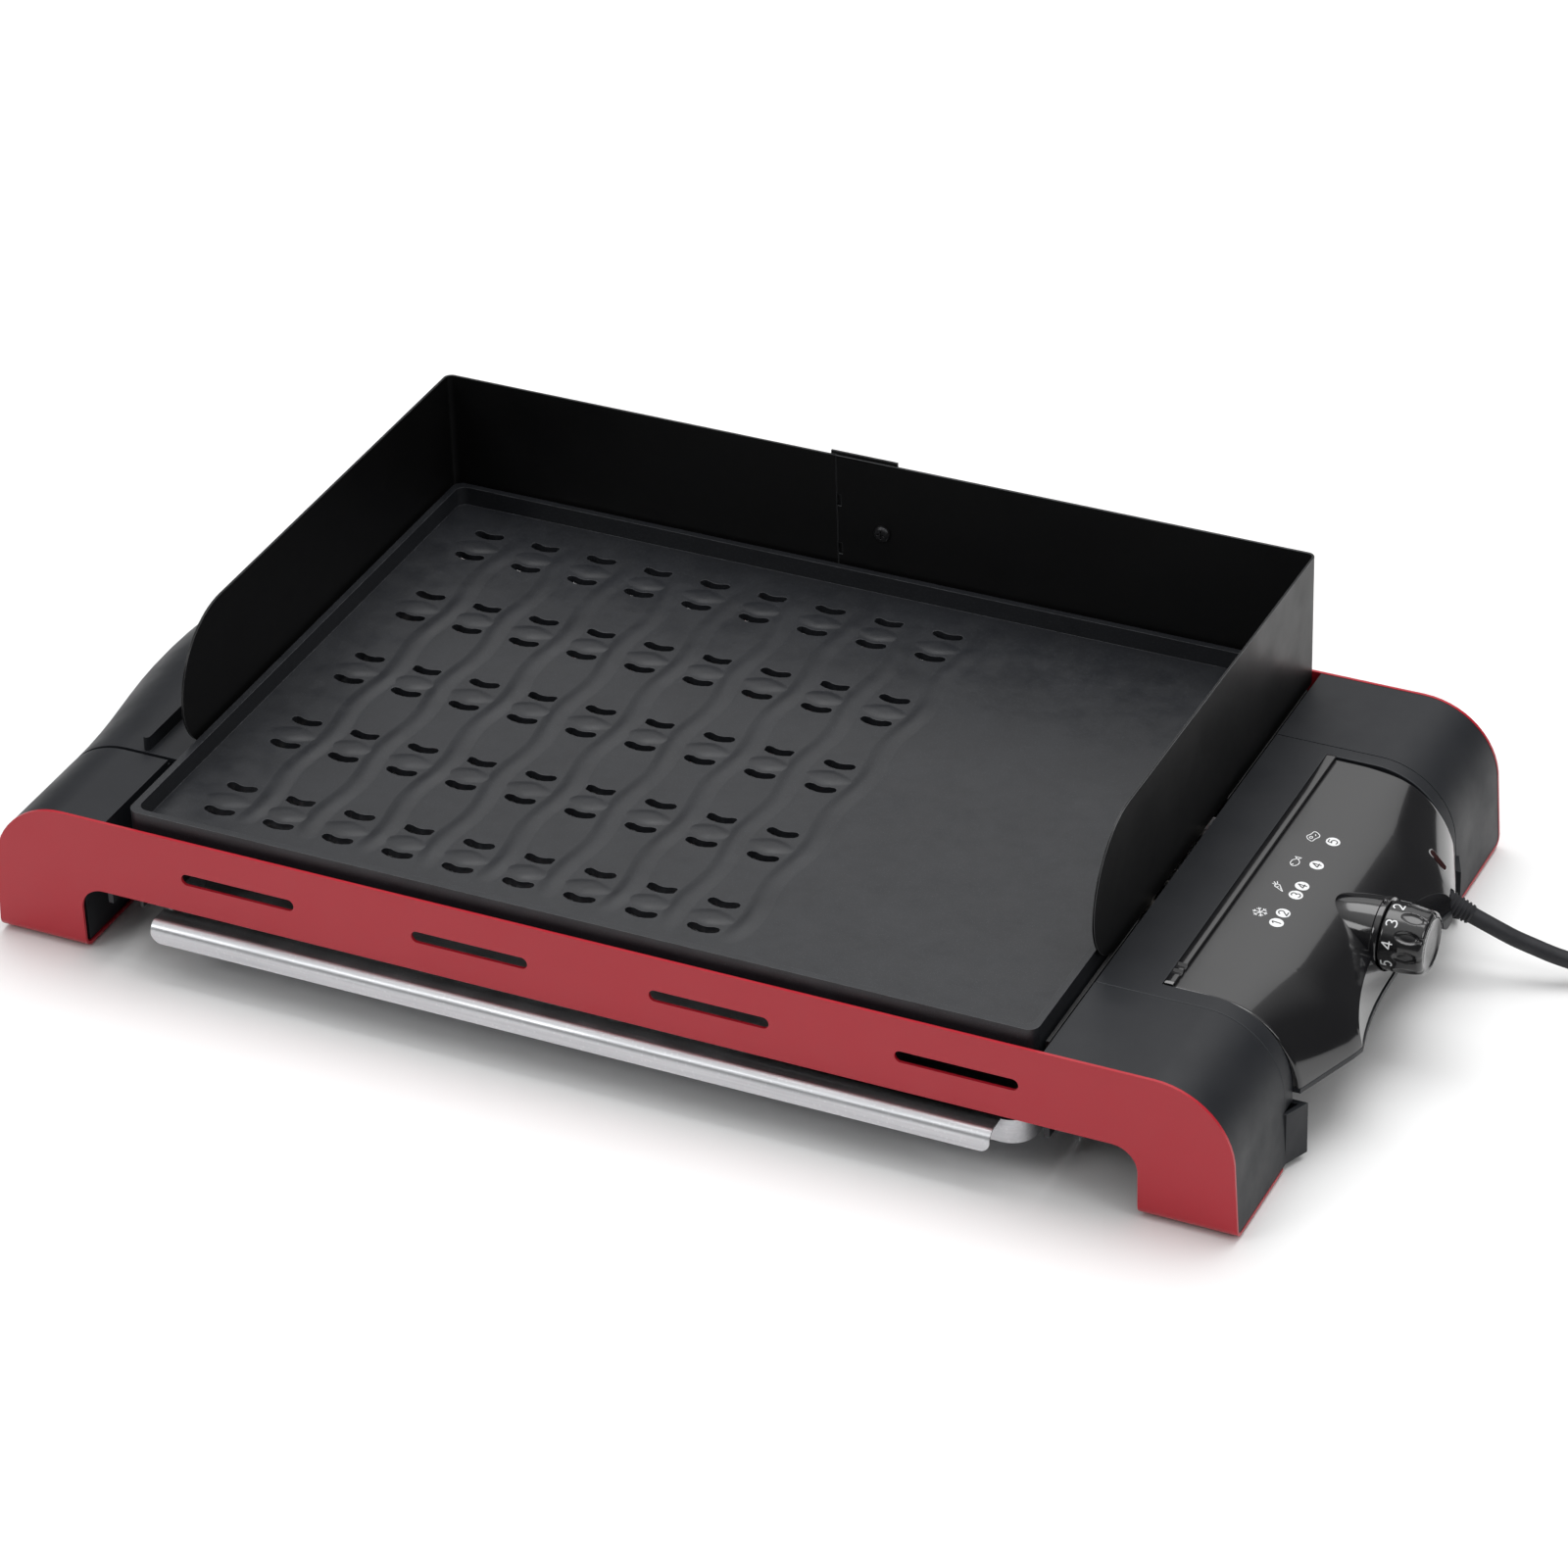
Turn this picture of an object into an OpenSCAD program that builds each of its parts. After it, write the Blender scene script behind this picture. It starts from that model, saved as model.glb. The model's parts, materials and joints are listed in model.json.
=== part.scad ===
// Tabletop electric griddle: two painted panels joined by moulded end housings, a cast plate with
// its own heating element, a slide-out drip tray, a lift-off windshield in two halves and a
// plug-in temperature controller. Z = 0 is the tabletop. The origin lies under the middle of the
// whole object, without its cord.

/* [Frame] */
// Length of the painted panels over their feet, less the flare
frame_l = 599; // [595:1:601]
// Depth over the two painted panels
frame_w = 326; // [326:1:330]
// Height of the top edge of panels and end housings
frame_h = 73; // [73:0.5:74]
// Radius of the rounded top corners of the ends
end_r = 37; // [32:1:38]
// Thickness of the painted sheet
sheet_t = 1.4; // [1:0.1:1.6]
// Width of each painted foot
foot_w = 45; // [40:1:46]
// Height of the lower edge of the panels between their feet
arch_h = 35.4; // [34:0.2:36]
// Wall thickness of the moulded parts
wall = 2.5; // [2:0.1:2.6]

/* [Vent slots] */
// Length of one slot in the panels
slot_l = 57; // [40:1:70]
// Height of one slot
slot_h = 5.8; // [4:0.2:8]
// Distance between neighbouring slots
slot_pitch = 115.7; // [100:1:120]

/* [Cooking plate] */
// Height of the rim above the table
rim_z = 79.5; // [78:0.5:80]
// Depth of the basin below the rim
basin_d = 9.5; // [8:0.5:10]
// Thickness of the rim
rim_t = 3.3; // [3:0.1:4]
// Length of one drain slot
drain_l = 15.6; // [10:0.2:16]
// Width of one drain slot
drain_w = 4.8; // [3:0.2:5]

/* [Windshield] */
// Height of its top edge above the table
shield_z = 137; // [130:1:150]
// Radius of its upper front corners
shield_r = 40; // [34:1:44]

/* [Control knob] */
// Radius of the knob at its base
knob_r = 15.4; // [14:0.2:15.4]
// Radius of the knob at its front face
knob_front_r = 13.9; // [12:0.1:14]

/* [Cord] */
// Diameter of the supply cord
cord_d = 7.6; // [7:0.1:7.6]

/* [Hidden] */
$fn = 64;
eps = 0.01;
gap = 0.3;

half_l = frame_l / 2;
half_w = frame_w / 2;
flare = 1.5;
foot_in = half_l + flare - foot_w;
arch_r = 12;
slot_z = 53.2;
pad_t = 1.5;
bend_r = 5;
tab_in = 110;
tab_top = pad_t + sheet_t;
inner_w = half_w - sheet_t;

right_edge = 213;
left_edge = 240;
seam_y = 106;
leg_y = 95;
leg_top = 28.6;
leg_flare = 5;
bay_x = 240;
bay_y0 = -96;
bay_y1 = 98;
bay_z = 33;
window_y = 53;
window_z = 44;
strip_z = frame_h - wall;

grip_edge = 235;
grip_bulge = 11;
grip_y = 104;
fin_x = 253;
fin_t = 3.5;
fin_h = 7;

plate_x0 = -230.5;
plate_x1 = 208;
plate_y0 = -158;
plate_y1 = 156.5;
plate_r = 5;
cook_z = rim_z - basin_d;
floor_t = 4;
floor_z = cook_z - floor_t;
skirt_z = 60;
drain_rows = 5;
drain_cols = 9;
drain_pitch_x = 30;
drain_pitch_y = 60;
drain_x0 = -200;
drain_y0 = -131;
drain_step = 20.5;
drain_bend = 10.5;

tube_r = 3.3;
tube_z = floor_z - tube_r - 0.2;
run_out = 90;
run_in = 30;
run_x0 = -180;
run_x1 = 120;
lead_x = 170;
lead_r = 14;
cold_x = 210;
pin_r = 2.4;
pin_x0 = 222;
pin_x1 = 256;
insulator_r = 4.5;
probe_z = 57.5;
probe_r = 3;
guard_x = 217;
guard_t = 1.5;
guard_y = 50;
guard_z = 50;
clip_places = [[-120, run_out], [60, run_out], [-40, run_in]];
clip_ear = 9;
clip_w = 12;
clip_t = 1;

tray_x0 = -219;
tray_x1 = 204;
tray_y0 = -158;
tray_y1 = 150;
tray_z0 = 18;
tray_z1 = 30;
tray_t = 0.8;
tray_r = 12;
tray_flange = 3;
lip_x0 = -216.5;
lip_x1 = 191.5;
lip_y = -170;
lip_z = 20;
lip_r = 5;

rail_right = 209.2;
rail_left = -232;
rail_t = 1.6;
rail_y = 150;
rail_top = 70;
rail_bottom = 22;
screw_y = 125;
screw_z = 42;

shield_t = 1;
shield_bottom = rail_top + gap;
shield_y = 158.3;
shield_right = 209.6;
shield_left = -233.3;
shield_front = -101;
shield_low_r = 26.5;
joint_x = -28;
flap_x = 3;
flap_rise = 1.6;
screw_x = -5;
shield_screw_z = 100;

knob_z = 55;
knob_x0 = 306.3;
knob_x1 = 326;
shaft_r = 3;
well_r = knob_r + 0.8;
shell_a = 52;
shell_x = 250;
shell_z0 = 35.5;
shell_h = 39;
fullness = 0.1;
shoulder_y = 57;
shoulder = 15;
shoulder_blend = 8;
facet_x0 = 309.6;
facet_rise = 7;
facet_slope = 0.235;
socket_r = 4;
relief_start = [294, 62, 42];
relief_end = [315, 65, 31];
relief_r0 = 6.2;
relief_r1 = 4.6;

// centre of the frame, measured from the origin
frame_x = (half_l - 0.2 + grip_bulge - knob_x1) / 2;
frame_y = -(lip_y + half_w) / 2;

// supply cord: hand-placed points from the strain relief down to the table and to the coil
cord_route = [
    [315, 65, 31], [321, 66, 28], [327, 67, 25], [334, 69, 21], [342, 71, 17.5], [351, 73, 14],
    [361, 76, 10.5], [372, 79, 7.5], [384, 82, 5], [395, 84, 3.9]
];
// the wound length lies in two layers, entered along its front edge and left on its right
coil_x = 420;
coil_bend = 31.5;
coil_wraps = 2.6;
cord_pitch = cord_d + 0.2;
coil_in = coil_bend - cord_d / 2;
coil_out = coil_bend + coil_wraps * cord_pitch + cord_d / 2;
coil_y = 84.5 + coil_bend + coil_wraps * cord_pitch;
coil_h = 2 * cord_d + 0.2;
// from the coil's top layer to the plug that lies beside it
tail_route = [
    [470.3, 140, 11.4], [470.6, 148, 11.4], [470.9, 156, 11.5], [471.1, 164, 11.7], [471.2, 172, 11.9], [471.2, 180, 12]
];
plug_at = [471.2, 180, 12];
plug_half_w = 13;
plug_l = 36;
blade_l = 17;

// ---- helpers ----

module placed() translate([frame_x, frame_y, 0]) children();

module unplaced() translate([-frame_x, -frame_y, 0]) children();

// an outline drawn in X and Z, extruded from y0 along +Y
module along_y(y0, len) translate([0, y0 + len, 0]) rotate([90, 0, 0]) linear_extrude(len) children();

// an outline drawn in Y and Z, extruded from x0 along +X
module along_x(x0, len) translate([x0, 0, 0]) rotate([90, 0, 90]) linear_extrude(len) children();

module box(lo, hi) translate(lo) cube(hi - lo);

module both_ends() for (s = [0, 1]) mirror([0, s, 0]) children();

module rod_x(x0, x1, r) translate([x0, 0, 0]) rotate([0, 90, 0]) cylinder(r = r, h = x1 - x0);

function span(a, b, n) = [for (i = [0:n]) a + (b - a) * i / n];

// rectangle with its corners rounded in short straight steps
module rounded_rect(lo, hi, r) polygon([
    for (c = [[hi.x - r, hi.y - r, 0], [lo.x + r, hi.y - r, 90], [lo.x + r, lo.y + r, 180], [hi.x - r, lo.y + r, 270]])
        for (a = span(c[2], c[2] + 90, 8)) [c[0] + r * cos(a), c[1] + r * sin(a)]
]);

// slot with round ends along X, starting at the origin
module slot_outline(length, width) {
    translate([width / 2, 0]) square([length - width, width]);
    for (x = [width / 2, length - width / 2]) translate([x, width / 2]) circle(width / 2 - eps);
}

// solid through a row of closed rings that all have the same number of points, each drawn
// anticlockwise as seen from before the first ring
module loft(rings) {
    n = len(rings[0]);
    m = len(rings);
    polyhedron(
        points = [for (ring = rings) each ring],
        faces = concat(
            [[for (j = [n - 1:-1:0]) j]],
            [for (i = [0:m - 2], j = [0:n - 1], half = [0, 1]) let (
                k = (j + 1) % n, a = i * n + j, b = i * n + k, c = b + n, d = a + n
            ) half == 0 ? [a, b, c] : [a, c, d]],
            [[for (j = [0:n - 1]) (m - 1) * n + j]]
        )
    );
}

// ---- painted panels ----

// outline of one end in X and Z, shrunk by t and cut off level at z0
module end_outline(t, z0) intersection() {
    union() {
        square([half_l - end_r, frame_h - t]);
        intersection() {
            translate([half_l - end_r, frame_h - end_r]) circle(end_r - t);
            translate([half_l - end_r - 1, frame_h - end_r]) square(end_r + 1);
        }
        polygon([
            [0, 0], [half_l + flare - t, 0], [half_l + flare - t, pad_t + bend_r],
            [half_l - t, frame_h - end_r], [0, frame_h - end_r]
        ]);
    }
    translate([0, z0]) square([half_l + flare, frame_h]);
}

module panel_outline() {
    difference() {
        for (s = [0, 1]) mirror([s, 0]) end_outline(0, pad_t + bend_r);
        translate([-foot_in, -1]) square([2 * foot_in, arch_h - arch_r + 1]);
        translate([-foot_in + arch_r, -1]) square([2 * (foot_in - arch_r), arch_h + 1]);
        for (s = [-1, 1]) translate([s * (foot_in - arch_r), arch_h - arch_r]) circle(arch_r);
        for (k = [-1.5, -0.5, 0.5, 1.5]) translate([k * slot_pitch - slot_l / 2, slot_z - slot_h / 2])
            slot_outline(slot_l, slot_h);
    }
}

// the foot's lower edge turns inwards and carries the housing
module foot_tab() {
    y0 = -half_w + bend_r;
    difference() {
        union() {
            along_x(foot_in, foot_w) intersection() {
                translate([y0, pad_t + bend_r]) difference() {
                    circle(bend_r);
                    circle(bend_r - sheet_t);
                }
                translate([-half_w, pad_t]) square(bend_r);
            }
            box([foot_in, y0, pad_t], [foot_in + foot_w, -tab_in, tab_top]);
        }
        foot_places() cylinder(r = 2, h = 3 * tab_top, center = true);
        pad_places() cylinder(r = 3, h = 3 * tab_top, center = true);
    }
}

module foot_places() translate([half_l - 22, -half_w + 22, 0]) children();

module pad_places() translate([half_l - 22, -half_w + 40, 0]) children();

module painted_panel() {
    along_y(-half_w, sheet_t) panel_outline();
    for (s = [0, 1]) mirror([s, 0, 0]) foot_tab();
}

module front_panel() color("firebrick") placed() painted_panel();

module rear_panel() color("firebrick") placed() mirror([0, 1, 0]) painted_panel();

// ---- end housings ----

// one moulded corner and its leg, at the front of the right end
module housing_corner(edge) {
    y0 = -inner_w;
    along_y(y0, inner_w - seam_y) intersection() {
        difference() {
            end_outline(0.2, tab_top);
            end_outline(wall, tab_top - 1);
        }
        translate([edge, 0]) square([half_l, frame_h]);
    }
    box([edge, y0, arch_h - 6], [edge + wall, -seam_y, frame_h - 1]);
    // leg: outer wall carried on under the cover, inner wall, end wall and floor
    linear_extrude_between(tab_top, leg_top) polygon([
        [half_l + flare - 0.2, -seam_y - 1], [half_l + flare + leg_flare, -leg_y],
        [half_l + flare + leg_flare - wall, -leg_y], [half_l + flare - wall, -seam_y - 1]
    ]);
    box([foot_in + 1, -half_w + bend_r, tab_top], [foot_in + 1 + wall, -leg_y, leg_top + 3]);
    box([foot_in + 1, -leg_y - wall, tab_top], [half_l + flare + leg_flare - wall, -leg_y, leg_top]);
    difference() {
        box([foot_in + 1, -half_w + bend_r, tab_top], [half_l, -leg_y, tab_top + wall]);
        foot_places() cylinder(r = 1.5, h = 30, center = true);
        pad_places() cylinder(r = 3, h = 30, center = true);
    }
}

module linear_extrude_between(z0, z1) translate([0, 0, z0]) linear_extrude(z1 - z0) children();

module housing(edge, rail_gap) difference() {
    union() {
        both_ends() housing_corner(edge);
        difference() {
            box([edge, -inner_w, arch_h - 6], [edge + wall, inner_w, strip_z - gap]);
            box([edge - 1, -window_y, window_z], [edge + wall + 1, window_y, frame_h]);
        }
        both_ends() {
            translate([0, screw_y, screw_z]) rod_x(edge - rail_gap, edge, 5);
            difference() {
                box([edge + wall - eps, 72, 47.5], [edge + wall + 17, 88, 50]);
                translate([edge + cover_in, 80, 40]) cylinder(r = 1.6, h = 20);
            }
        }
    }
    both_ends() translate([0, screw_y, screw_z]) rod_x(edge - rail_gap - 1, edge + wall + 1, 2);
}

cover_in = 13;

module right_housing() color([0.09, 0.09, 0.1]) placed() housing(right_edge, right_edge - rail_right - rail_t);

module left_housing() color([0.09, 0.09, 0.1]) placed() mirror([1, 0, 0]) housing(left_edge, left_edge + rail_left - rail_t);

// ---- covers between the corners ----

module cover_boss(edge) both_ends() translate([edge + cover_in, 80, 0]) difference() {
    translate([0, 0, 50]) cylinder(r = 4, h = strip_z - 50 + eps);
    translate([0, 0, 49]) cylinder(r = 1.6, h = 14);
}

module right_bay_cover() color([0.1, 0.1, 0.11]) placed() {
    y_out = seam_y - gap;
    box([right_edge, -y_out, strip_z], [bay_x - gap, y_out, frame_h - 0.2]);
    for (side = [[-y_out, bay_y0 - gap], [bay_y1 + gap, y_out]]) {
        along_y(side[0], side[1] - side[0]) intersection() {
            difference() {
                end_outline(0.2, leg_top + 0.4);
                end_outline(wall, leg_top);
            }
            translate([bay_x - gap - eps, 0]) square([half_l, frame_h]);
        }
    }
    for (y = [bay_y0 - gap - wall, bay_y1 + gap]) along_y(y, wall) intersection() {
        end_outline(wall - eps, bay_z);
        translate([bay_x - 4, 0]) square([half_l, frame_h]);
    }
    difference() {
        box([bay_x - 4, bay_y0 - gap - wall, bay_z], [bay_x - 4 + wall, bay_y1 + gap + wall, strip_z + eps]);
        box([bay_x - 5, -window_y, window_z], [bay_x, window_y, strip_z - 0.5]);
    }
    cover_boss(right_edge);
}

// outward bulge of the grip cover, fullest at mid length
function grip_out(y) = grip_bulge * pow(cos(90 * y / grip_y), 2);

// section of the grip cover at y, shrunk by t, its open lower side at z0; the left end is at -X
function grip_section(y, t, z0) = concat(
    [[-grip_edge - t, y, z0], [-grip_edge - t, y, frame_h - 0.2 - t]],
    [for (a = span(0, 90, 12)) [
        end_r - half_l - (end_r - 0.2 - t + grip_out(y)) * sin(a), y,
        frame_h - end_r + (end_r - 0.2 - t) * cos(a)
    ]],
    [[0.2 + t - half_l - grip_out(y), y, z0]]
);

module left_grip_cover() color([0.1, 0.1, 0.11]) placed() difference() {
    union() {
        loft([for (y = span(-grip_y, grip_y, 16)) grip_section(y, 0, bay_z)]);
        linear_extrude_between(frame_h - 1, frame_h + fin_h)
            rounded_rect([-fin_x - fin_t / 2, -grip_y + 1], [-fin_x + fin_t / 2, grip_y - 1], fin_t / 2 - eps);
    }
    difference() {
        loft([for (y = span(-grip_y + wall, grip_y - wall, 16)) grip_section(y, wall, bay_z - 5)]);
        mirror([1, 0, 0]) cover_boss(left_edge);
    }
    // room for the housing's inner wall, which stands under this cover and passes through its ends
    box([-left_edge - wall - 1, -grip_y - 1, bay_z - 1], [-grip_edge + 1, grip_y + 1, 52]);
    both_ends() box([-left_edge - wall - gap, grip_y - wall - 1, 50], [-left_edge + gap, grip_y + 1, strip_z]);
    both_ends() translate([-left_edge - cover_in, 80, 49]) cylinder(r = 1.6, h = 14);
}

// ---- tray rails ----

// a folded strip: web beside the housing, upper ledge for the plate, lower ledge for the tray
module tray_rail(face, plate_face, tray_face) {
    difference() {
        box([face, -rail_y, rail_bottom], [face + rail_t, rail_y, rail_top]);
        box([face - 1, -guard_y - 2, guard_z - 1], [face + rail_t + 1, guard_y + 2, rail_top + 1]);
        both_ends() translate([0, screw_y, screw_z]) rod_x(face - 1, face + rail_t + 1, 2);
    }
    both_ends() box([plate_face, guard_y + 2, skirt_z - rail_t], [face + eps, rail_y, skirt_z]);
    box([tray_face, -rail_y, tray_z1 - tray_t - rail_t - gap], [face + eps, rail_y, tray_z1 - tray_t - gap]);
}

module right_tray_rail() color([0.12, 0.12, 0.12]) placed()
    tray_rail(rail_right, rail_right - 8, tray_x1 + 0.6);

module left_tray_rail() color([0.12, 0.12, 0.12]) placed() mirror([1, 0, 0])
    tray_rail(-rail_left, -rail_left - 8, -tray_x0 + 0.6);

// a pan head at z 0 below a shank that points up
module screw(head_r, head_h, shank_r, shank_l) {
    translate([0, 0, -head_h]) cylinder(r = head_r, h = head_h);
    cylinder(r = shank_r, h = shank_l);
}

module rail_screws() color("silver") placed() {
    both_ends() translate([rail_right, screw_y, screw_z]) rotate([0, 90, 0]) screw(4, 2.4, 2, 6.5);
    both_ends() translate([rail_left, screw_y, screw_z]) rotate([0, -90, 0]) screw(4, 2.4, 2, 10.5);
}

module cover_screws() color("silver") placed() both_ends()
    for (x = [right_edge + cover_in, -left_edge - cover_in]) translate([x, 80, 47.5]) screw(3.5, 2, 1.6, 14);

module foot_screws() color("silver") placed() both_ends()
    for (s = [0, 1]) mirror([s, 0, 0]) foot_places() translate([0, 0, pad_t]) screw(4, 1.2, 1.5, 9);

module rubber_feet() color([0.05, 0.05, 0.05]) placed() both_ends()
    for (s = [0, 1]) mirror([s, 0, 0]) pad_places() {
        cylinder(r = 8, h = pad_t);
        cylinder(r = 3, h = tab_top + wall);
    }

// ---- cooking plate and its element ----

// curved drain slot about the origin, its hollow side towards +Y: two arcs and two round ends
module drain_outline() {
    a = asin((drain_l - drain_w) / 2 / drain_bend);
    h = drain_w / 2;
    function on_bend(t, r) = [r * sin(t), drain_bend - r * cos(t)];
    function round_end(t, side) = [for (e = span(t - 45, t + 45, 2))
        on_bend(t, drain_bend) + side * h * [cos(e), sin(e)]];
    polygon(concat(
        [for (t = span(-a, a, 4)) on_bend(t, drain_bend + h)],
        round_end(a, 1),
        [for (t = span(a, -a, 4)) on_bend(t, drain_bend - h)],
        round_end(-a, -1)
    ));
}

module drains() for (i = [0:drain_cols - 1], j = [0:drain_rows - 1], k = [0, 1])
    translate([drain_x0 + i * drain_pitch_x, drain_y0 + j * drain_pitch_y + k * drain_step]) drain_outline();

module plate_outline(t) rounded_rect([plate_x0 + t, plate_y0 + t], [plate_x1 - t, plate_y1 - t], plate_r);

module clip_holes() both_ends() for (p = clip_places, e = [-clip_ear, clip_ear])
    translate([p[0], p[1] + e, 0]) children();

module guard_holes() for (y = [-18, 18]) translate([194, y, 0]) children();

module grill_plate() color([0.2, 0.2, 0.21]) placed() difference() {
    linear_extrude_between(skirt_z, rim_z) plate_outline(0);
    linear_extrude_between(cook_z, rim_z + 1) plate_outline(rim_t);
    linear_extrude_between(skirt_z - 1, floor_z) plate_outline(rim_t);
    linear_extrude_between(floor_z - 1, cook_z + 1) drains();
    box([plate_x1 - rim_t - 1, -guard_y - 2, skirt_z - 1], [plate_x1 + 1, guard_y + 2, floor_z]);
    clip_holes() translate([0, 0, floor_z - 1]) cylinder(r = 1.5, h = 3.5);
    guard_holes() translate([0, 0, floor_z - 1]) cylinder(r = 1.5, h = 3.5);
}

// quarter or half turn of the tube about the origin, starting at angle a0
module tube_bend(r, a0, sweep) rotate([0, 0, a0]) rotate_extrude(angle = sweep) translate([r, 0]) circle(tube_r);

module heating_element() color([0.35, 0.34, 0.33]) placed() translate([0, 0, tube_z]) {
    u = (run_out - run_in) / 2;
    both_ends() {
        translate([0, run_in, 0]) rod_x(lead_x + lead_r, cold_x, tube_r);
        translate([lead_x + lead_r, run_in + lead_r, 0]) tube_bend(lead_r, 180, 90);
        translate([lead_x, run_in + lead_r, 0]) rotate([-90, 0, 0])
            cylinder(r = tube_r, h = run_out - run_in - 2 * lead_r);
        translate([lead_x - lead_r, run_out - lead_r, 0]) tube_bend(lead_r, 0, 90);
        translate([0, run_out, 0]) rod_x(run_x0, lead_x - lead_r, tube_r);
        translate([run_x0, run_in + u, 0]) tube_bend(u, 90, 180);
        translate([0, run_in, 0]) rod_x(run_x0, run_x1, tube_r);
    }
    translate([run_x1, 0, 0]) tube_bend(run_in, -90, 180);
}

module element_clips() color("silver") placed() both_ends() for (p = clip_places)
    translate([p[0] - clip_w / 2, p[1], 0]) difference() {
        along_x(0, clip_w) {
            translate([0, tube_z]) intersection() {
                difference() {
                    circle(tube_r + clip_t + 0.1);
                    circle(tube_r + 0.1);
                }
                translate([-20, -20]) square([40, 20]);
            }
            for (s = [0, 1]) mirror([s, 0]) {
                translate([tube_r + 0.1, tube_z]) square([clip_t, floor_z - tube_z]);
                translate([tube_r + 0.1, floor_z - clip_t]) square([clip_ear + 4 - tube_r, clip_t]);
            }
        }
        for (e = [-clip_ear, clip_ear]) translate([clip_w / 2, e, floor_z - 5]) cylinder(r = 1.5, h = 10);
    }

module clip_screws() color("silver") placed() clip_holes() translate([0, 0, floor_z - clip_t]) screw(2.6, 1.6, 1.5, 3);

module element_insulators() color("ivory") placed() for (s = [-1, 1]) translate([0, s * run_in, tube_z])
    difference() {
        rod_x(cold_x, pin_x0, insulator_r);
        rod_x(cold_x - 1, pin_x0 + 1, pin_r);
    }

module terminal_pins() color("silver") placed() for (s = [-1, 1]) translate([0, s * run_in, tube_z]) {
    rod_x(cold_x, pin_x1 - 2, pin_r);
    translate([pin_x1 - 2, 0, 0]) sphere(pin_r);
}

module terminal_guard() color("silver") placed() difference() {
    union() {
        box([guard_x, -guard_y, guard_z], [guard_x + guard_t, guard_y, 69]);
        box([188, -guard_y, guard_z], [guard_x + eps, guard_y, guard_z + guard_t]);
        guard_holes() translate([0, 0, guard_z]) cylinder(r = 4, h = floor_z - guard_z);
    }
    for (s = [-1, 1]) translate([0, s * run_in, tube_z]) rod_x(guard_x - 1, guard_x + 3, insulator_r);
    translate([0, 0, probe_z]) rod_x(guard_x - 1, guard_x + 3, probe_r + 1.5);
    guard_holes() translate([0, 0, guard_z - 1]) cylinder(r = 1.5, h = 30);
}

module guard_screws() color("silver") placed() guard_holes() translate([0, 0, guard_z])
    screw(3, 1.8, 1.5, floor_z - guard_z + 2.4);

module probe_guide() color("silver") placed() translate([0, 0, probe_z]) difference() {
    rod_x(166, 222, probe_r + 1.5);
    rod_x(165, 223, probe_r + 0.4);
}

// ---- drip tray ----

module drip_tray() color([0.75, 0.76, 0.78]) placed() {
    lo = [tray_x0, tray_y0];
    hi = [tray_x1, tray_y1];
    t = [tray_t, tray_t];
    difference() {
        linear_extrude_between(tray_z0, tray_z1) rounded_rect(lo, hi, tray_r);
        linear_extrude_between(tray_z0 + tray_t, tray_z1 + 1) rounded_rect(lo + t, hi - t, tray_r - tray_t);
    }
    // side flanges that run on the rails
    for (x = [tray_x0 - tray_flange, tray_x1 - tray_t])
        box([x, tray_y0 + tray_r, tray_z1 - tray_t], [x + tray_flange + tray_t, tray_y1 - tray_r, tray_z1]);
    // front lip: a flat brim rolled over to a rounded edge
    difference() {
        along_x(lip_x0, lip_x1 - lip_x0) {
            translate([lip_y + lip_r, tray_z1 - tray_t]) square([tray_y0 + tray_t - lip_y - lip_r, tray_t]);
            intersection() {
                translate([lip_y + lip_r, tray_z1 - lip_r]) difference() {
                    circle(lip_r);
                    circle(lip_r - tray_t);
                }
                translate([lip_y, tray_z1 - lip_r]) square(lip_r);
            }
            translate([lip_y, lip_z]) square([tray_t, tray_z1 - lip_r - lip_z]);
        }
        for (s = [[lip_x0, 1], [lip_x1, -1]]) translate([s[0], lip_y - 1, lip_z]) mirror([s[1] < 0 ? 1 : 0, 0, 0])
            difference() {
                translate([-1, 0, -1]) cube([6, 3, 6]);
                translate([5, -1, 5]) rotate([-90, 0, 0]) cylinder(r = 5, h = 5);
            }
    }
}

// ---- windshield ----

// side wing in Y and Z: a broad upper corner running into a smaller lower one
module wing_outline() {
    y1 = shield_front + shield_r;
    intersection() {
        translate([y1, shield_z - shield_r]) circle(shield_r);
        translate([shield_front - 1, shield_z - shield_r]) square([shield_r + 2, shield_r + 1]);
    }
    translate([shield_front + shield_low_r, shield_z - shield_r]) circle(shield_low_r);
    translate([shield_front + shield_low_r, shield_bottom])
        square([shield_y - shield_front - shield_low_r - 3, shield_z - shield_r - shield_bottom + 1]);
    translate([y1, shield_z - shield_r]) square([shield_y - y1 - 3, shield_r]);
}

module corner_bend(r, a0) translate([0, 0, shield_bottom]) rotate([0, 0, a0]) rotate_extrude(angle = 90)
    translate([r - shield_t, 0]) square([shield_t, shield_z - shield_bottom]);

module windshield_right() color([0.07, 0.07, 0.07]) placed() {
    r = 4;
    y1 = shield_y + shield_t;
    x1 = shield_right + shield_t;
    along_x(shield_right, shield_t) intersection() {
        wing_outline();
        translate([shield_front - 1, 0]) square([y1 - r - shield_front + 1, shield_z]);
    }
    translate([x1 - r, y1 - r, 0]) corner_bend(r, 0);
    difference() {
        box([joint_x, shield_y, shield_bottom], [x1 - r, y1, shield_z]);
        for (z = [87, 113]) box([joint_x - 1, shield_y - 1, z - 3], [joint_x + 2, y1 + 1, z + 3]);
        translate([screw_x, shield_y - 2, shield_screw_z]) rotate([-90, 0, 0]) cylinder(r = 2.1, h = 5);
    }
}

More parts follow.
